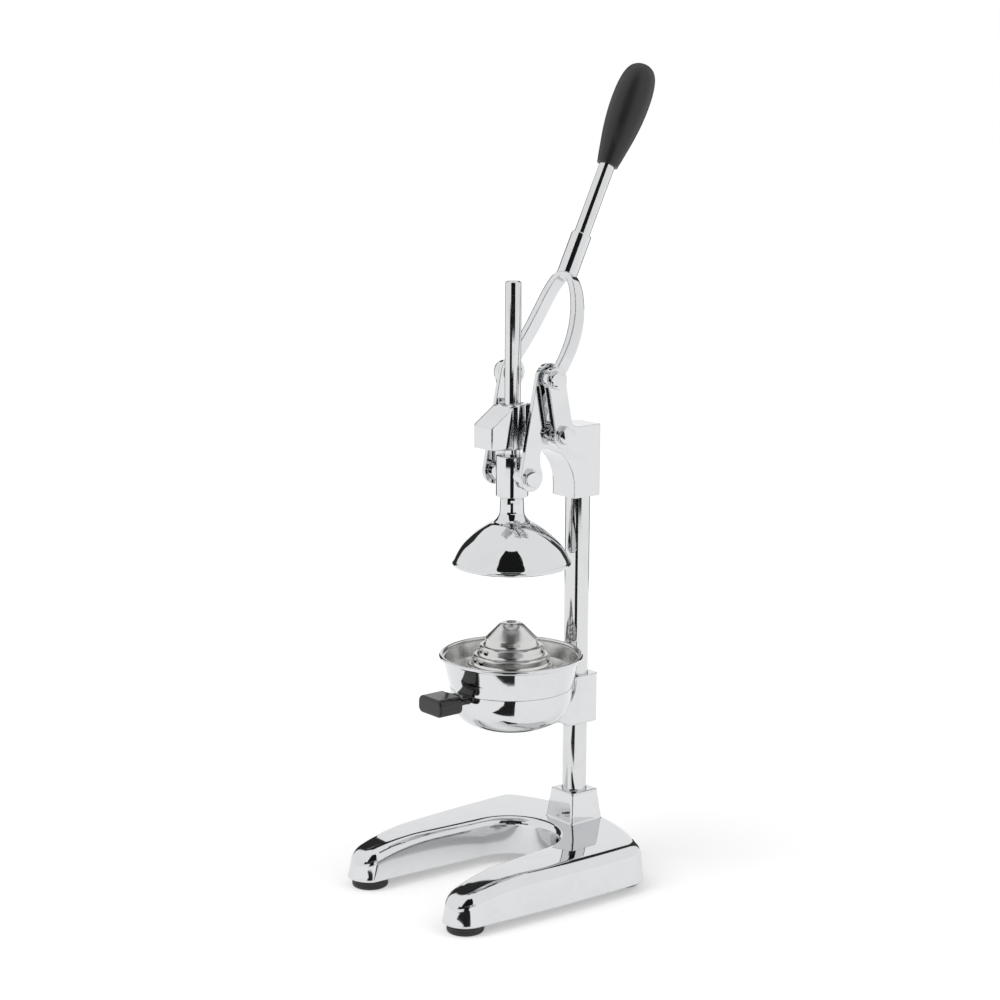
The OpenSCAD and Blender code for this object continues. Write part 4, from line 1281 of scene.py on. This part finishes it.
@dataclass
class HexScrews:
    """The hexagon-headed screws of the hinges. Sizes are in millimetres.

    The places are those along a hinge's axis, from the middle plane, that a screw's stem has
    under its head, where its shoulder starts or ends, and at its tip.
    """

    shop: Workshop
    flats: float = 14.0
    height: float = 5.5
    head_turn: float = 0.35
    head_ease: float = 0.25
    shoulder: float = 10.0
    thread: float = 8.0
    pivot_places: tuple[float, ...] = (36.3, 29.2, 11.2)
    crosshead_places: tuple[float, ...] = (26.5, 22.5)
    link_places: tuple[float, ...] = (36.0, 26.8, 22.2, 17.2)

    def head(self, name: str, side: int, under: float, place: Point) -> bpy.types.Object:
        """A screw's head, made by Geometry Nodes.

        Args:
            name: the piece's name.
            side: -1 for the left side, 1 for the right side.
            under: where along the hinge the head starts.
            place: the hinge's place.

        Returns:
            The head with eased edges.
        """
        y, z = place
        points = drawn_mesh(name, [(side * under * MM, y * MM, z * MM)])
        turn = (self.head_turn, side * math.pi / 2, 0.0)
        head = self.shop.trees.run(self.shop.trees.hex_heads, points, f"{name}_head",
                                   Across_Flats=self.flats * MM, Height=self.height * MM, Turn=turn)
        crown_edge = 20
        clean_mesh(head.data, crown_edge)
        bevel = head.modifiers.new("eased", "BEVEL")
        bevel.width, bevel.segments, bevel.limit_method = self.head_ease * MM, 2, "ANGLE"
        bevel.angle_limit = math.radians(crown_edge)
        baked(head)
        shade(head.data, 35)
        return head

    def screw(self, name: str, sides: tuple[int, ...], place: Point, stem: Line
              ) -> bpy.types.Object:
        """Screws on one hinge line.

        Args:
            name: the piece's name.
            sides: -1 for the left side, 1 for the right side.
            place: the hinge's place.
            stem: the stem's outline as [radius, x], and the first point lies under the head.

        Returns:
            The screws as one piece.
        """
        pieces = []
        for side in sides:
            pieces.append(self.head(name, side, stem[0][1], place))
            pieces.append(self.shop.turned(f"{name}_stem", [*stem, (0.0, stem[-1][1])],
                                           self.shop.on_hinge(place, side), 48))
        return joined(pieces, name)

    def build(self) -> None:
        """Builds and hands over the hinge screws, nuts and spacers."""
        shop = self.shop
        r, s = self.thread / 2, self.shoulder / 2
        head, shoulder, tip = self.pivot_places
        pivot = [(s, head), (s, shoulder), (r, shoulder), (r, tip)]
        crosshead = [(r, place) for place in self.crosshead_places]
        for side, name in ((-1, "left"), (1, "right")):
            for kind, place, stem in (("lever_pivot", shop.pivot, pivot),
                                      ("crosshead", shop.link_foot, crosshead)):
                node = f"{kind}_screw_{name}"
                screw = self.screw(f"{node}_turned", (side,), place, stem)
                shop.hand_over(screw, node, Coat.CHROME, "small_chrome")
        head, start, end, tip = self.link_places
        stem = [(r, head), (r, start), (s, start), (s, end), (r, end), (r, tip)]
        screws = self.screw("link_pivot_screws_turned", (-1, 1), shop.link_top, stem)
        shop.hand_over(screws, "link_pivot_screws", Coat.CHROME, "small_chrome")
        shop.hand_over_copies(("link_pivot_nuts",), 0.25, Coat.ZINC, "zinc_steel")
        shop.hand_over_copies(("link_spacers",), 0.3, Coat.CHROME, "bell_chrome")


@dataclass
class Lever:
    """The forked lever with its shaft and grip. Sizes are in millimetres, along the lever."""

    shop: Workshop
    sleeve_start: float = 94.5
    sleeve_length: float = 37.5
    shaft_inset: float = 4.0
    shaft_d: float = 14.0
    shaft_free: float = 66.0
    shaft_in_grip: float = 62.0
    grip_length: float = 96.0
    grip_d: float = 34.0
    grip_bore: float = 8.0
    grip_shares: tuple[Point, ...] = (
        (0.0, 0.56), (0.03, 0.58), (0.06, 0.62), (0.16, 0.72), (0.28, 0.84), (0.4, 0.93),
        (0.52, 0.985), (0.62, 1.0), (0.72, 0.985), (0.81, 0.93), (0.88, 0.84), (0.935, 0.7),
        (0.97, 0.51), (0.99, 0.29), (1.0, 0.0))

    def build(self) -> None:
        """Builds and hands over the lever."""
        shop = self.shop
        place = shop.on_axis(*shop.link_top) @ Matrix.Rotation(-shop.lever_lean, 4, "X")
        shop.hand_over_copies(("lever_fork",), 1.6, Coat.CHROME, "cast_chrome")
        shop.hand_over_copies(("lever_bushes",), 0.3, Coat.BRONZE, "bronze")
        r, start = self.shaft_d / 2, self.sleeve_start + self.shaft_inset
        grip_start = self.sleeve_start + self.sleeve_length + self.shaft_free
        end = grip_start + self.shaft_in_grip
        line = rounded_line([(0.0, start), (r, start), (r, start + 50), (r, end), (0.0, end)], 1.0)
        shaft = shop.turned("lever_shaft_ground", line, place, 96)
        shop.hand_over(shaft, "lever_shaft", Coat.STEEL, "shaft_steel")
        grip = shop.turned("lever_grip_moulded", self.grip_line(grip_start), place)
        shop.hand_over(grip, "lever_grip", Coat.GRIP, "grip_plastic")

    def grip_line(self, start: float) -> Line:
        """The grip's outline: a rounded collar, a slow swell, a round end and the shaft's bore.

        Args:
            start: where the grip starts.

        Returns:
            The outline as [radius, height] points.
        """
        outside = smooth_line([(q * self.grip_d / 2, start + s * self.grip_length)
                               for s, q in self.grip_shares])
        r, bottom = self.shaft_d / 2, start + self.grip_bore
        collar = rounded_line([(r, bottom), (r, start), outside[0], outside[2]], 0.8)
        return [(0.0, bottom)] + collar[:-1] + outside[2:]


@dataclass
class LinksAndPlunger:
    """The links, the crosshead, the rod and the press bell. Sizes are in millimetres."""

    shop: Workshop
    rod_d: float = 14.0
    rod_top: float = 537.0
    rod_ease: float = 1.2
    thread_d: float = 10.0
    thread_length: float = 18.0
    crosshead_d: float = 28.4
    crosshead_z: float = 350.57
    crosshead_length: float = 36.0
    boss_d: float = 17.0
    boss_start: float = 8.0
    boss_reach: float = 22.2
    bell_d: float = 104.0
    bell_height: float = 42.0
    bell_wall: float = 2.5
    bell_bead: float = 1.8
    rim_z: float = 289.57
    neck_d: float = 21.0
    neck_bore: float = 7.1
    dome_shares: tuple[Point, ...] = (
        (0.38, 0.885), (0.54, 0.755), (0.69, 0.6), (0.827, 0.42), (0.92, 0.235), (0.965, 0.115))

    def build(self) -> None:
        """Builds and hands over what moves with the plunger."""
        shop = self.shop
        axis = shop.on_axis(shop.press_y)
        shop.hand_over_copies(("link_left", "link_right"), 0.7, Coat.CHROME, "small_chrome")
        r, thread, top, ease = self.rod_d / 2, self.thread_d / 2, self.rod_top, self.rod_ease
        z, low = self.crosshead_z, self.crosshead_z - self.thread_length
        line = rounded_line([(0.0, low), (thread, low), (thread, z), (r, z), (r, z + 60),
                             (r, top - ease), (r - 1.5 * ease, top), (0.0, top + 0.5)], ease)
        rod = shop.turned("plunger_rod_ground", line, axis, 96)
        shop.hand_over(rod, "plunger_rod", Coat.STEEL, "rod_steel")
        shop.hand_over(self.crosshead(axis), "crosshead", Coat.CHROME, "bell_chrome")
        shop.hand_over_copies(("crosshead_screw_rear",), 0.2, Coat.ZINC, "zinc_steel")
        shop.hand_over(self.bell(axis), "press_bell", Coat.CHROME, "bell_chrome")

    def crosshead(self, axis: Matrix) -> bpy.types.Object:
        """The cylinder that joins the rod, the links and the bell, with a boss to each side.

        Args:
            axis: the press axis.

        Returns:
            The crosshead.
        """
        shop, bore, r = self.shop, self.rod_d / 2, self.crosshead_d / 2
        low, high = self.crosshead_z, self.crosshead_z + self.crosshead_length
        line = rounded_line([(bore, low), (r, low), (r, low + 12), (r, high - 12), (r, high),
                             (bore, high)], 1.0)
        parts = [shop.turned("crosshead_body", line, axis)]
        r, start, end = self.boss_d / 2, self.boss_start, self.boss_reach
        boss = [(0.0, start)] + rounded_line([(r, start), (r, end), (4.0, end)], 0.6)
        for side in (-1, 1):
            place = shop.on_hinge(shop.link_foot, side)
            parts.append(shop.turned("crosshead_boss", boss, place, 72))
        return joined(parts, "crosshead_turned")

    def bell(self, axis: Matrix) -> bpy.types.Object:
        """The press cup: a long neck, a smooth dome and a rolled bead, one even wall thick.

        Args:
            axis: the press axis.

        Returns:
            The bell.
        """
        neck, top, low = self.neck_d / 2, self.rim_z + self.bell_height, self.crosshead_z - 0.05
        r, bead = self.bell_d / 2, self.bell_bead
        dome = [(x * r, self.rim_z + y * self.bell_height) for x, y in self.dome_shares]
        dome.append((r - 1.2, self.rim_z + 2 * bead + 0.4))
        outside = smooth_line([(neck + 0.1, top + 8), (neck + 0.5, top + 3.5),
                               (neck + 2.4, top - 0.2), (neck + 5.4, top - 3.0), *dome], 6)
        inside = moved_line(smooth_line(dome, 6), -self.bell_wall)
        curl = arc_line((r - bead, self.rim_z + bead), bead, 60, -220, 18)
        stem = rounded_line([(self.neck_bore, low), (neck - 0.6, low),
                             (neck, self.crosshead_z - 6), outside[0]], 0.8)
        line = stem[:-1] + outside + curl + inside[::-1] + [(neck, top - 5.5), (0.0, top - 5.0)]
        return self.shop.turned("press_bell_polished", line, axis, 160)


@dataclass
class Bowls:
    """The juice bowl with its tab and tongue, the upper bowl and the ribbed cone.

    Sizes are in millimetres and angles in degrees.
    """

    shop: Workshop
    bowl_d: float = 108.0
    bowl_depth: float = 38.5
    seam_z: float = 181.5
    rim_d: float = 127.0
    rim_z: float = 210.0
    sheet: float = 1.2
    outlet_d: float = 16.0
    lip_gap: float = 0.15
    spigot: float = 5.0
    spigot_fit: float = 0.4
    ledge_r: float = 44.0
    bead: float = 1.9
    tip_z: float = 238.0
    steps: int = 4
    plain_r: float = 22.5
    plain_drop: float = 13.5
    step_drop: float = 8.2
    foot_gap: float = 5.0
    slot_rows: tuple[int, ...] = (1, 2, 3)
    slot_groups: tuple[float, ...] = (35, 215)
    slots_in_group: int = 4
    slot_turn: float = 18
    slot_size: tuple[float, float, float] = (6.2, 9.0, 2.8)
    slot_drop: float = 3.0
    lip_size: tuple[float, float, float] = (6.8, 2.2, 2.4)
    lip_drop: float = 1.2
    lip_out: float = 0.4
    bowl_shares: tuple[Point, ...] = (
        (1, 0), (1, 0.13), (0.99, 0.3), (0.963, 0.47), (0.907, 0.62), (0.815, 0.76),
        (0.69, 0.87), (0.52, 0.945), (0.33, 0.985), (0.15, 1))

    def __post_init__(self) -> None:
        """Works out the places that the two bowls and the cone share."""
        self.spigot_r = self.bowl_d / 2 - self.sheet - self.spigot_fit
        self.floor_z = self.seam_z - self.spigot + self.sheet
        self.foot_r = self.spigot_r - self.foot_gap
        self.step_run = (self.foot_r - 3.5 - self.plain_r) / self.steps

    def build(self) -> None:
        """Builds and hands over the bowls."""
        shop = self.shop
        axis = shop.on_axis(shop.press_y)
        lower = shop.turned("juice_bowl_spun", self.lower_line(), axis, 160)
        shop.hand_over(lower, "juice_bowl", Coat.SATIN, "bowl_chrome")
        shop.hand_over_copies(("bowl_tongue",), 0.5, Coat.CHROME, "cast_chrome")
        tab = shop.eased_copy("bowl_tab", 2.4, angle=30.0, segments=5, clamp=False)
        shop.hand_over(tab, "bowl_tab", Coat.TAB, "tab_plastic")
        shop.hand_over_copies(("tab_tang",), 0.3, Coat.STEEL, "satin_steel")
        upper = shop.turned("upper_bowl_spun", self.upper_line(), axis, 160)
        shop.hand_over(upper, "upper_bowl", Coat.SATIN, "bowl_chrome", inside="satin_steel")
        shop.hand_over(self.cone(axis), "reamer_cone", Coat.SATIN, "satin_steel")

    def lower_line(self) -> Line:
        """The lower bowl's sheet, from its lip down to the outlet and back up inside.

        Returns:
            The outline as [radius, height] points.
        """
        outside = smooth_line([(x * self.bowl_d / 2, self.seam_z - y * self.bowl_depth)
                               for x, y in self.bowl_shares])
        top, outlet = self.seam_z - self.lip_gap, self.outlet_d / 2
        inside = [(r, min(z, top)) for r, z in moved_line(outside, -self.sheet) if r >= outlet]
        outside = [(r, z) for r, z in outside if r >= outlet]
        lip, low = [(outside[0][0] - 0.4, top)], outside[-1][1]
        edge = [(outlet, low), (outlet, low + self.sheet)]
        shoulder = [(outside[0][0], top - 0.3)]
        return lip + shoulder + outside[1:] + edge + inside[1:][::-1] + lip

    def upper_line(self) -> Line:
        """The upper bowl's sheet: the spigot, the flared wall, the rolled rim and the inside.

        Returns:
            The outline as [radius, height] points.
        """
        r, seam, spigot, ledge = self.bowl_d / 2, self.seam_z, self.spigot_r, self.ledge_r
        low, rim = self.seam_z - self.spigot, self.rim_d / 2
        wall = [(r, seam), (r + 0.7, seam + 2.5), (r + 3.4, seam + 13),
                (rim - 3.5, self.rim_z - 3.8)]
        outside = rounded_line([(ledge, low), (spigot, low), (spigot, seam - 0.05)], 1.6)
        outside += [(spigot + 0.3, seam)] + rounded_line(wall, 6.0)
        roll = arc_line((rim - self.bead, self.rim_z - self.bead), self.bead, -75, 215, 22)
        inner = moved_line(wall, self.sheet)
        inside = rounded_line([inner[3], inner[2], (spigot - self.sheet + 0.4, seam + 1.5),
                               (spigot - self.sheet, self.floor_z), (ledge, self.floor_z)], 3.0, 6)
        return outside + roll + inside + [(ledge, low)]

    def cone_line(self) -> Line:
        """The cone's outside: a domed tip with a dimple, a plain flank and rounded steps.

        Returns:
            The outline as [radius, height] points.
        """
        z, run, foot, floor = self.tip_z, self.step_run, self.foot_r, self.floor_z
        tip = smooth_line([(0.0, z - 1.6), (2.5, z - 1.3), (5.0, z - 0.1), (8.5, z - 0.4),
                           (11.5, z - 2.4), (14.0, z - 5.0)], 4)
        line = [tip[-1], (self.plain_r, z - self.plain_drop)]
        for i in range(self.steps):
            r, top = self.plain_r + i * run, z - self.plain_drop - i * self.step_drop
            line += [(r + 0.7, top - 4.2), (r + 2.0, top - 5.9), (r + run - 1.5, top - 6.6),
                     (r + run - 0.2, top - 7.4), (r + run, top - self.step_drop)]
        line += [(foot - 2, floor + 1.2 + self.sheet), (foot, floor + self.sheet),
                 (foot + 2, floor + self.sheet)]
        return tip[:-1] + rounded_line(line, 1.5, 4)

    def drops(self, name: str, out: float, drop: float, size: tuple[float, float, float],
              axis: Matrix) -> bpy.types.Object:
        """Drops round the cone, one at each slot, placed by Geometry Nodes.

        Args:
            name: the piece's name.
            out: how far they lie outside the steps' corners.
            drop: how far they lie below them.
            size: each drop's length round the cone, its depth and its height.
            axis: the press axis.

        Returns:
            The drops as one piece.
        """
        points = []
        for row in self.slot_rows:
            r = (self.plain_r + row * self.step_run + out) * MM
            z = (self.tip_z - self.plain_drop - row * self.step_drop - drop) * MM
            for group in self.slot_groups:
                for i in range(self.slots_in_group):
                    turn = math.radians(group + self.slot_turn * i)
                    points.append((math.cos(turn) * r, math.sin(turn) * r, z))
        length, depth, height = (way * MM for way in size)
        trees = self.shop.trees
        piece = trees.run(trees.slots, drawn_mesh(name, points), name, Length=length, Depth=depth,
                          Height=height)
        piece.data.transform(axis)
        clean_mesh(piece.data)
        return piece

    def cone(self, axis: Matrix) -> bpy.types.Object:
        """The ribbed cone with its slots and their raised lips.

        Args:
            axis: the press axis.

        Returns:
            The cone.
        """
        outside = self.cone_line()
        inside = [(max(r, 0.0), max(z, self.floor_z + 0.02))
                  for r, z in moved_line(outside, -self.sheet)]
        cone = self.shop.turned("reamer_cone_pressed", outside + inside[::-1], axis, 144)
        cutter = self.drops("slot_cutter", 0.0, self.slot_drop, self.slot_size, axis)
        lips = self.drops("slot_lips", self.lip_out, self.lip_drop, self.lip_size, axis)
        cut = cone.modifiers.new("slots", "BOOLEAN")
        cut.operation, cut.solver, cut.object = "DIFFERENCE", "EXACT", cutter
        baked(cone)
        bpy.data.objects.remove(cutter)
        return joined([cone, lips], "reamer_cone_ribbed")


# ---- Stage ----


@dataclass(frozen=True)
class DarkCard:
    """A dark card that only reflections see, with its sizes in metres.

    Its angles are in degrees from the camera's way, to the right as the camera sees it.
    """

    name: str
    start: float
    end: float
    low: float
    high: float
    distance: float
    shade: float = 0.012


@dataclass(frozen=True)
class SoftLamp:
    """A broad soft light. Its turn from the camera's way, its rise and spread are in degrees."""

    name: str
    turn: float
    rise: float
    spread: float
    level: float


@dataclass
class Stage:
    """The floor, the light, the dark cards and the camera. Lengths are in metres."""

    camera_turn: float = 50.49
    camera_pitch: float = 11.02
    camera_roll: float = 0.307
    camera_place: tuple[float, float, float] = (1.4264, -1.20513, 0.7085)
    lens: float = 78.53
    floor_half: float = 9.0
    floor_white: float = 0.80
    floor_glow: float = 0.34
    sky_light: float = 0.55
    sky_seen: float = 1.0
    card_parts: int = 8
    mat_height: float = 0.0015
    mat_shade: float = 0.02
    mat_corners: tuple[Point, ...] = (
        (-0.19, 0.27), (0.03, 0.27), (0.07, 0.55), (0.15, 1.0), (-0.19, 1.0), (-0.13, 0.55))
    cards: tuple[DarkCard, ...] = (
        DarkCard("card_ahead_low", -14.0, 11.0, 0.0, 0.38, 0.9),
        DarkCard("card_ahead_high", -32.0, 28.0, 0.44, 3.3, 1.0),
        DarkCard("card_ahead_middle", -46.0, -14.0, 0.235, 0.50, 1.0),
        DarkCard("card_ahead_right", 11.0, 40.0, 0.235, 0.32, 1.0),
        DarkCard("flag_left", -162.0, -139.0, 0.0, 0.95, 1.3, 0.03),
        DarkCard("flag_right", 137.0, 162.0, 0.0, 0.95, 1.3, 0.05),
        DarkCard("flag_above", 137.0, 208.0, 0.95, 1.8, 1.3, 0.03),
    )
    soft_lamps: tuple[SoftLamp, ...] = (
        SoftLamp("key_light", -60, 52, 35, 1.0),
        SoftLamp("fill_light", 65, 38, 50, 0.55),
    )

    def build(self, centre: Vector) -> None:
        """Builds the stage round a point on the floor.

        Args:
            centre: the press axis on the floor, in metres.
        """
        self.floor()
        for card in self.cards:
            self.card(card, centre)
        self.floor_mat(centre)
        self.world()
        for lamp in self.soft_lamps:
            self.lamp(lamp)
        self.camera()

    def ahead(self, turn: float) -> Vector:
        """The level way from the object at an angle to the camera's way, in degrees."""
        angle = math.radians(self.camera_turn - 90 + turn)
        return Vector((math.cos(angle), math.sin(angle), 0.0))

    def hang(self, name: str, points: list[Vector], faces: list[tuple[int, ...]], shade: float
             ) -> None:
        """Makes a dark card and leaves it to reflections alone.

        Args:
            name: the card's name.
            points: its corners.
            faces: its faces, by their corners.
            shade: its flat dark tone.
        """
        mesh = drawn_mesh(name, points, faces=faces)
        card = new_piece(name, mesh)
        material = bpy.data.materials.new(name)
        w = empty_tree(material)
        tone = w.node("ShaderNodeEmission", {"Color": (shade, shade, shade, 1.0), "Strength": 1.0})
        w.node("ShaderNodeOutputMaterial", {"Surface": tone.outputs[0]})
        mesh.materials.append(material)
        card.visible_camera = card.visible_diffuse = card.visible_shadow = False
        card.visible_transmission = False

    def card(self, card: DarkCard, centre: Vector) -> None:
        """Builds one curved upright card.

        Args:
            card: the card's sizes.
            centre: the point on the floor that it bends round.
        """
        points, count = [], self.card_parts
        for i in range(count + 1):
            way = self.ahead(card.start + (card.end - card.start) * i / count) * card.distance
            points += [centre + way + Vector((0, 0, z)) for z in (card.low, card.high)]
        faces = [(2 * i, 2 * i + 2, 2 * i + 3, 2 * i + 1) for i in range(count)]
        self.hang(card.name, points, faces, card.shade)

    def floor_mat(self, centre: Vector) -> None:
        """Lays a dark strip on the floor between the press and the low card.

        Args:
            centre: the press axis on the floor.
        """
        start, lift = centre + Vector((0, 0, self.mat_height)), self.ahead(0)
        points = [start + lift * ahead + self.ahead(90) * across
                  for across, ahead in self.mat_corners]
        self.hang("card_on_floor", points, [(0, 1, 2, 5), (5, 2, 3, 4)], self.mat_shade)

    def seen(self, w: Wiring) -> Socket:
        """1 for what the camera sees itself, in a reflection or through glass, and else 0."""
        path = w.node("ShaderNodeLightPath").outputs
        seen = w.math("MAXIMUM", path["Is Camera Ray"], path["Is Glossy Ray"])
        return w.math("MAXIMUM", seen, path["Is Transmission Ray"])

    def floor(self) -> None:
        """A pale floor that keeps the object's shadow and reads as white."""
        half, white = self.floor_half, self.floor_white
        corners = [(-half, -half, 0), (half, -half, 0), (half, half, 0), (-half, half, 0)]
        mesh = drawn_mesh("floor", corners, faces=[(0, 1, 2, 3)])
        floor = new_piece("floor", mesh)
        material = bpy.data.materials.new("pale_floor")
        w = empty_tree(material)
        diffuse = w.node("ShaderNodeBsdfDiffuse", {"Color": (white, white, white, 1.0)})
        glow = w.node("ShaderNodeEmission",
                      {"Color": WHITE,
                       "Strength": w.math("MULTIPLY", self.seen(w), self.floor_glow)})
        both = w.node("ShaderNodeAddShader", {0: diffuse.outputs[0], 1: glow.outputs[0]})
        w.node("ShaderNodeOutputMaterial", {"Surface": both.outputs[0]})
        mesh.materials.append(material)

    def world(self) -> None:
        """White surroundings for the camera and reflections, and a lower level for the light."""
        world = bpy.data.worlds.new("studio")
        bpy.context.scene.world = world
        w = empty_tree(world)
        strength = w.ranged(self.seen(w), wanted=(self.sky_light, self.sky_seen))
        sky = w.node("ShaderNodeBackground", {"Color": WHITE, "Strength": strength})
        w.node("ShaderNodeOutputWorld", {"Surface": sky.outputs[0]})

    def lamp(self, soft: SoftLamp) -> None:
        """Hangs one soft light, which is the same all over the floor.

        Args:
            soft: the light's angles and level.
        """
        lamp = bpy.data.lights.new(soft.name, "SUN")
        lamp.angle, lamp.energy = math.radians(soft.spread), soft.level
        piece = bpy.data.objects.new(soft.name, lamp)
        bpy.context.scene.collection.objects.link(piece)
        rise = math.radians(soft.rise)
        toward = self.ahead(soft.turn) * math.cos(rise) + Vector((0, 0, math.sin(rise)))
        piece.rotation_euler = (-toward).to_track_quat("-Z", "Y").to_euler()
        piece.visible_glossy = False

    def camera(self) -> None:
        """The camera at the photograph's angle."""
        data = bpy.data.cameras.new("photo_camera")
        data.lens, data.sensor_width, data.clip_end = self.lens, 36.0, 50.0
        camera = bpy.data.objects.new("photo_camera", data)
        bpy.context.scene.collection.objects.link(camera)
        turn = (Matrix.Rotation(math.radians(self.camera_turn), 4, "Z")
                @ Matrix.Rotation(math.radians(90 - self.camera_pitch), 4, "X")
                @ Matrix.Rotation(math.radians(self.camera_roll), 4, "Z"))
        camera.matrix_world = Matrix.Translation(self.camera_place) @ turn
        bpy.context.scene.camera = camera


def main() -> None:
    """Builds the press's pieces in order, then the stage."""
    logging.basicConfig(level=logging.INFO, format="%(message)s")
    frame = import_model()
    bpy.context.scene.view_settings.view_transform = "Standard"
    shop = Workshop(frame)
    for kind in (BaseFrame, Column, HexScrews, Lever, LinksAndPlunger, Bowls):
        LOG.info("building %s", kind.__name__)
        kind(shop).build()
    Stage().build(Vector((0.0, shop.press_y * MM, 0.0)))
    LOG.info("%d pieces for %d CAD nodes", shop.count, len(shop.nodes))


if __name__ == "__main__":
    main()
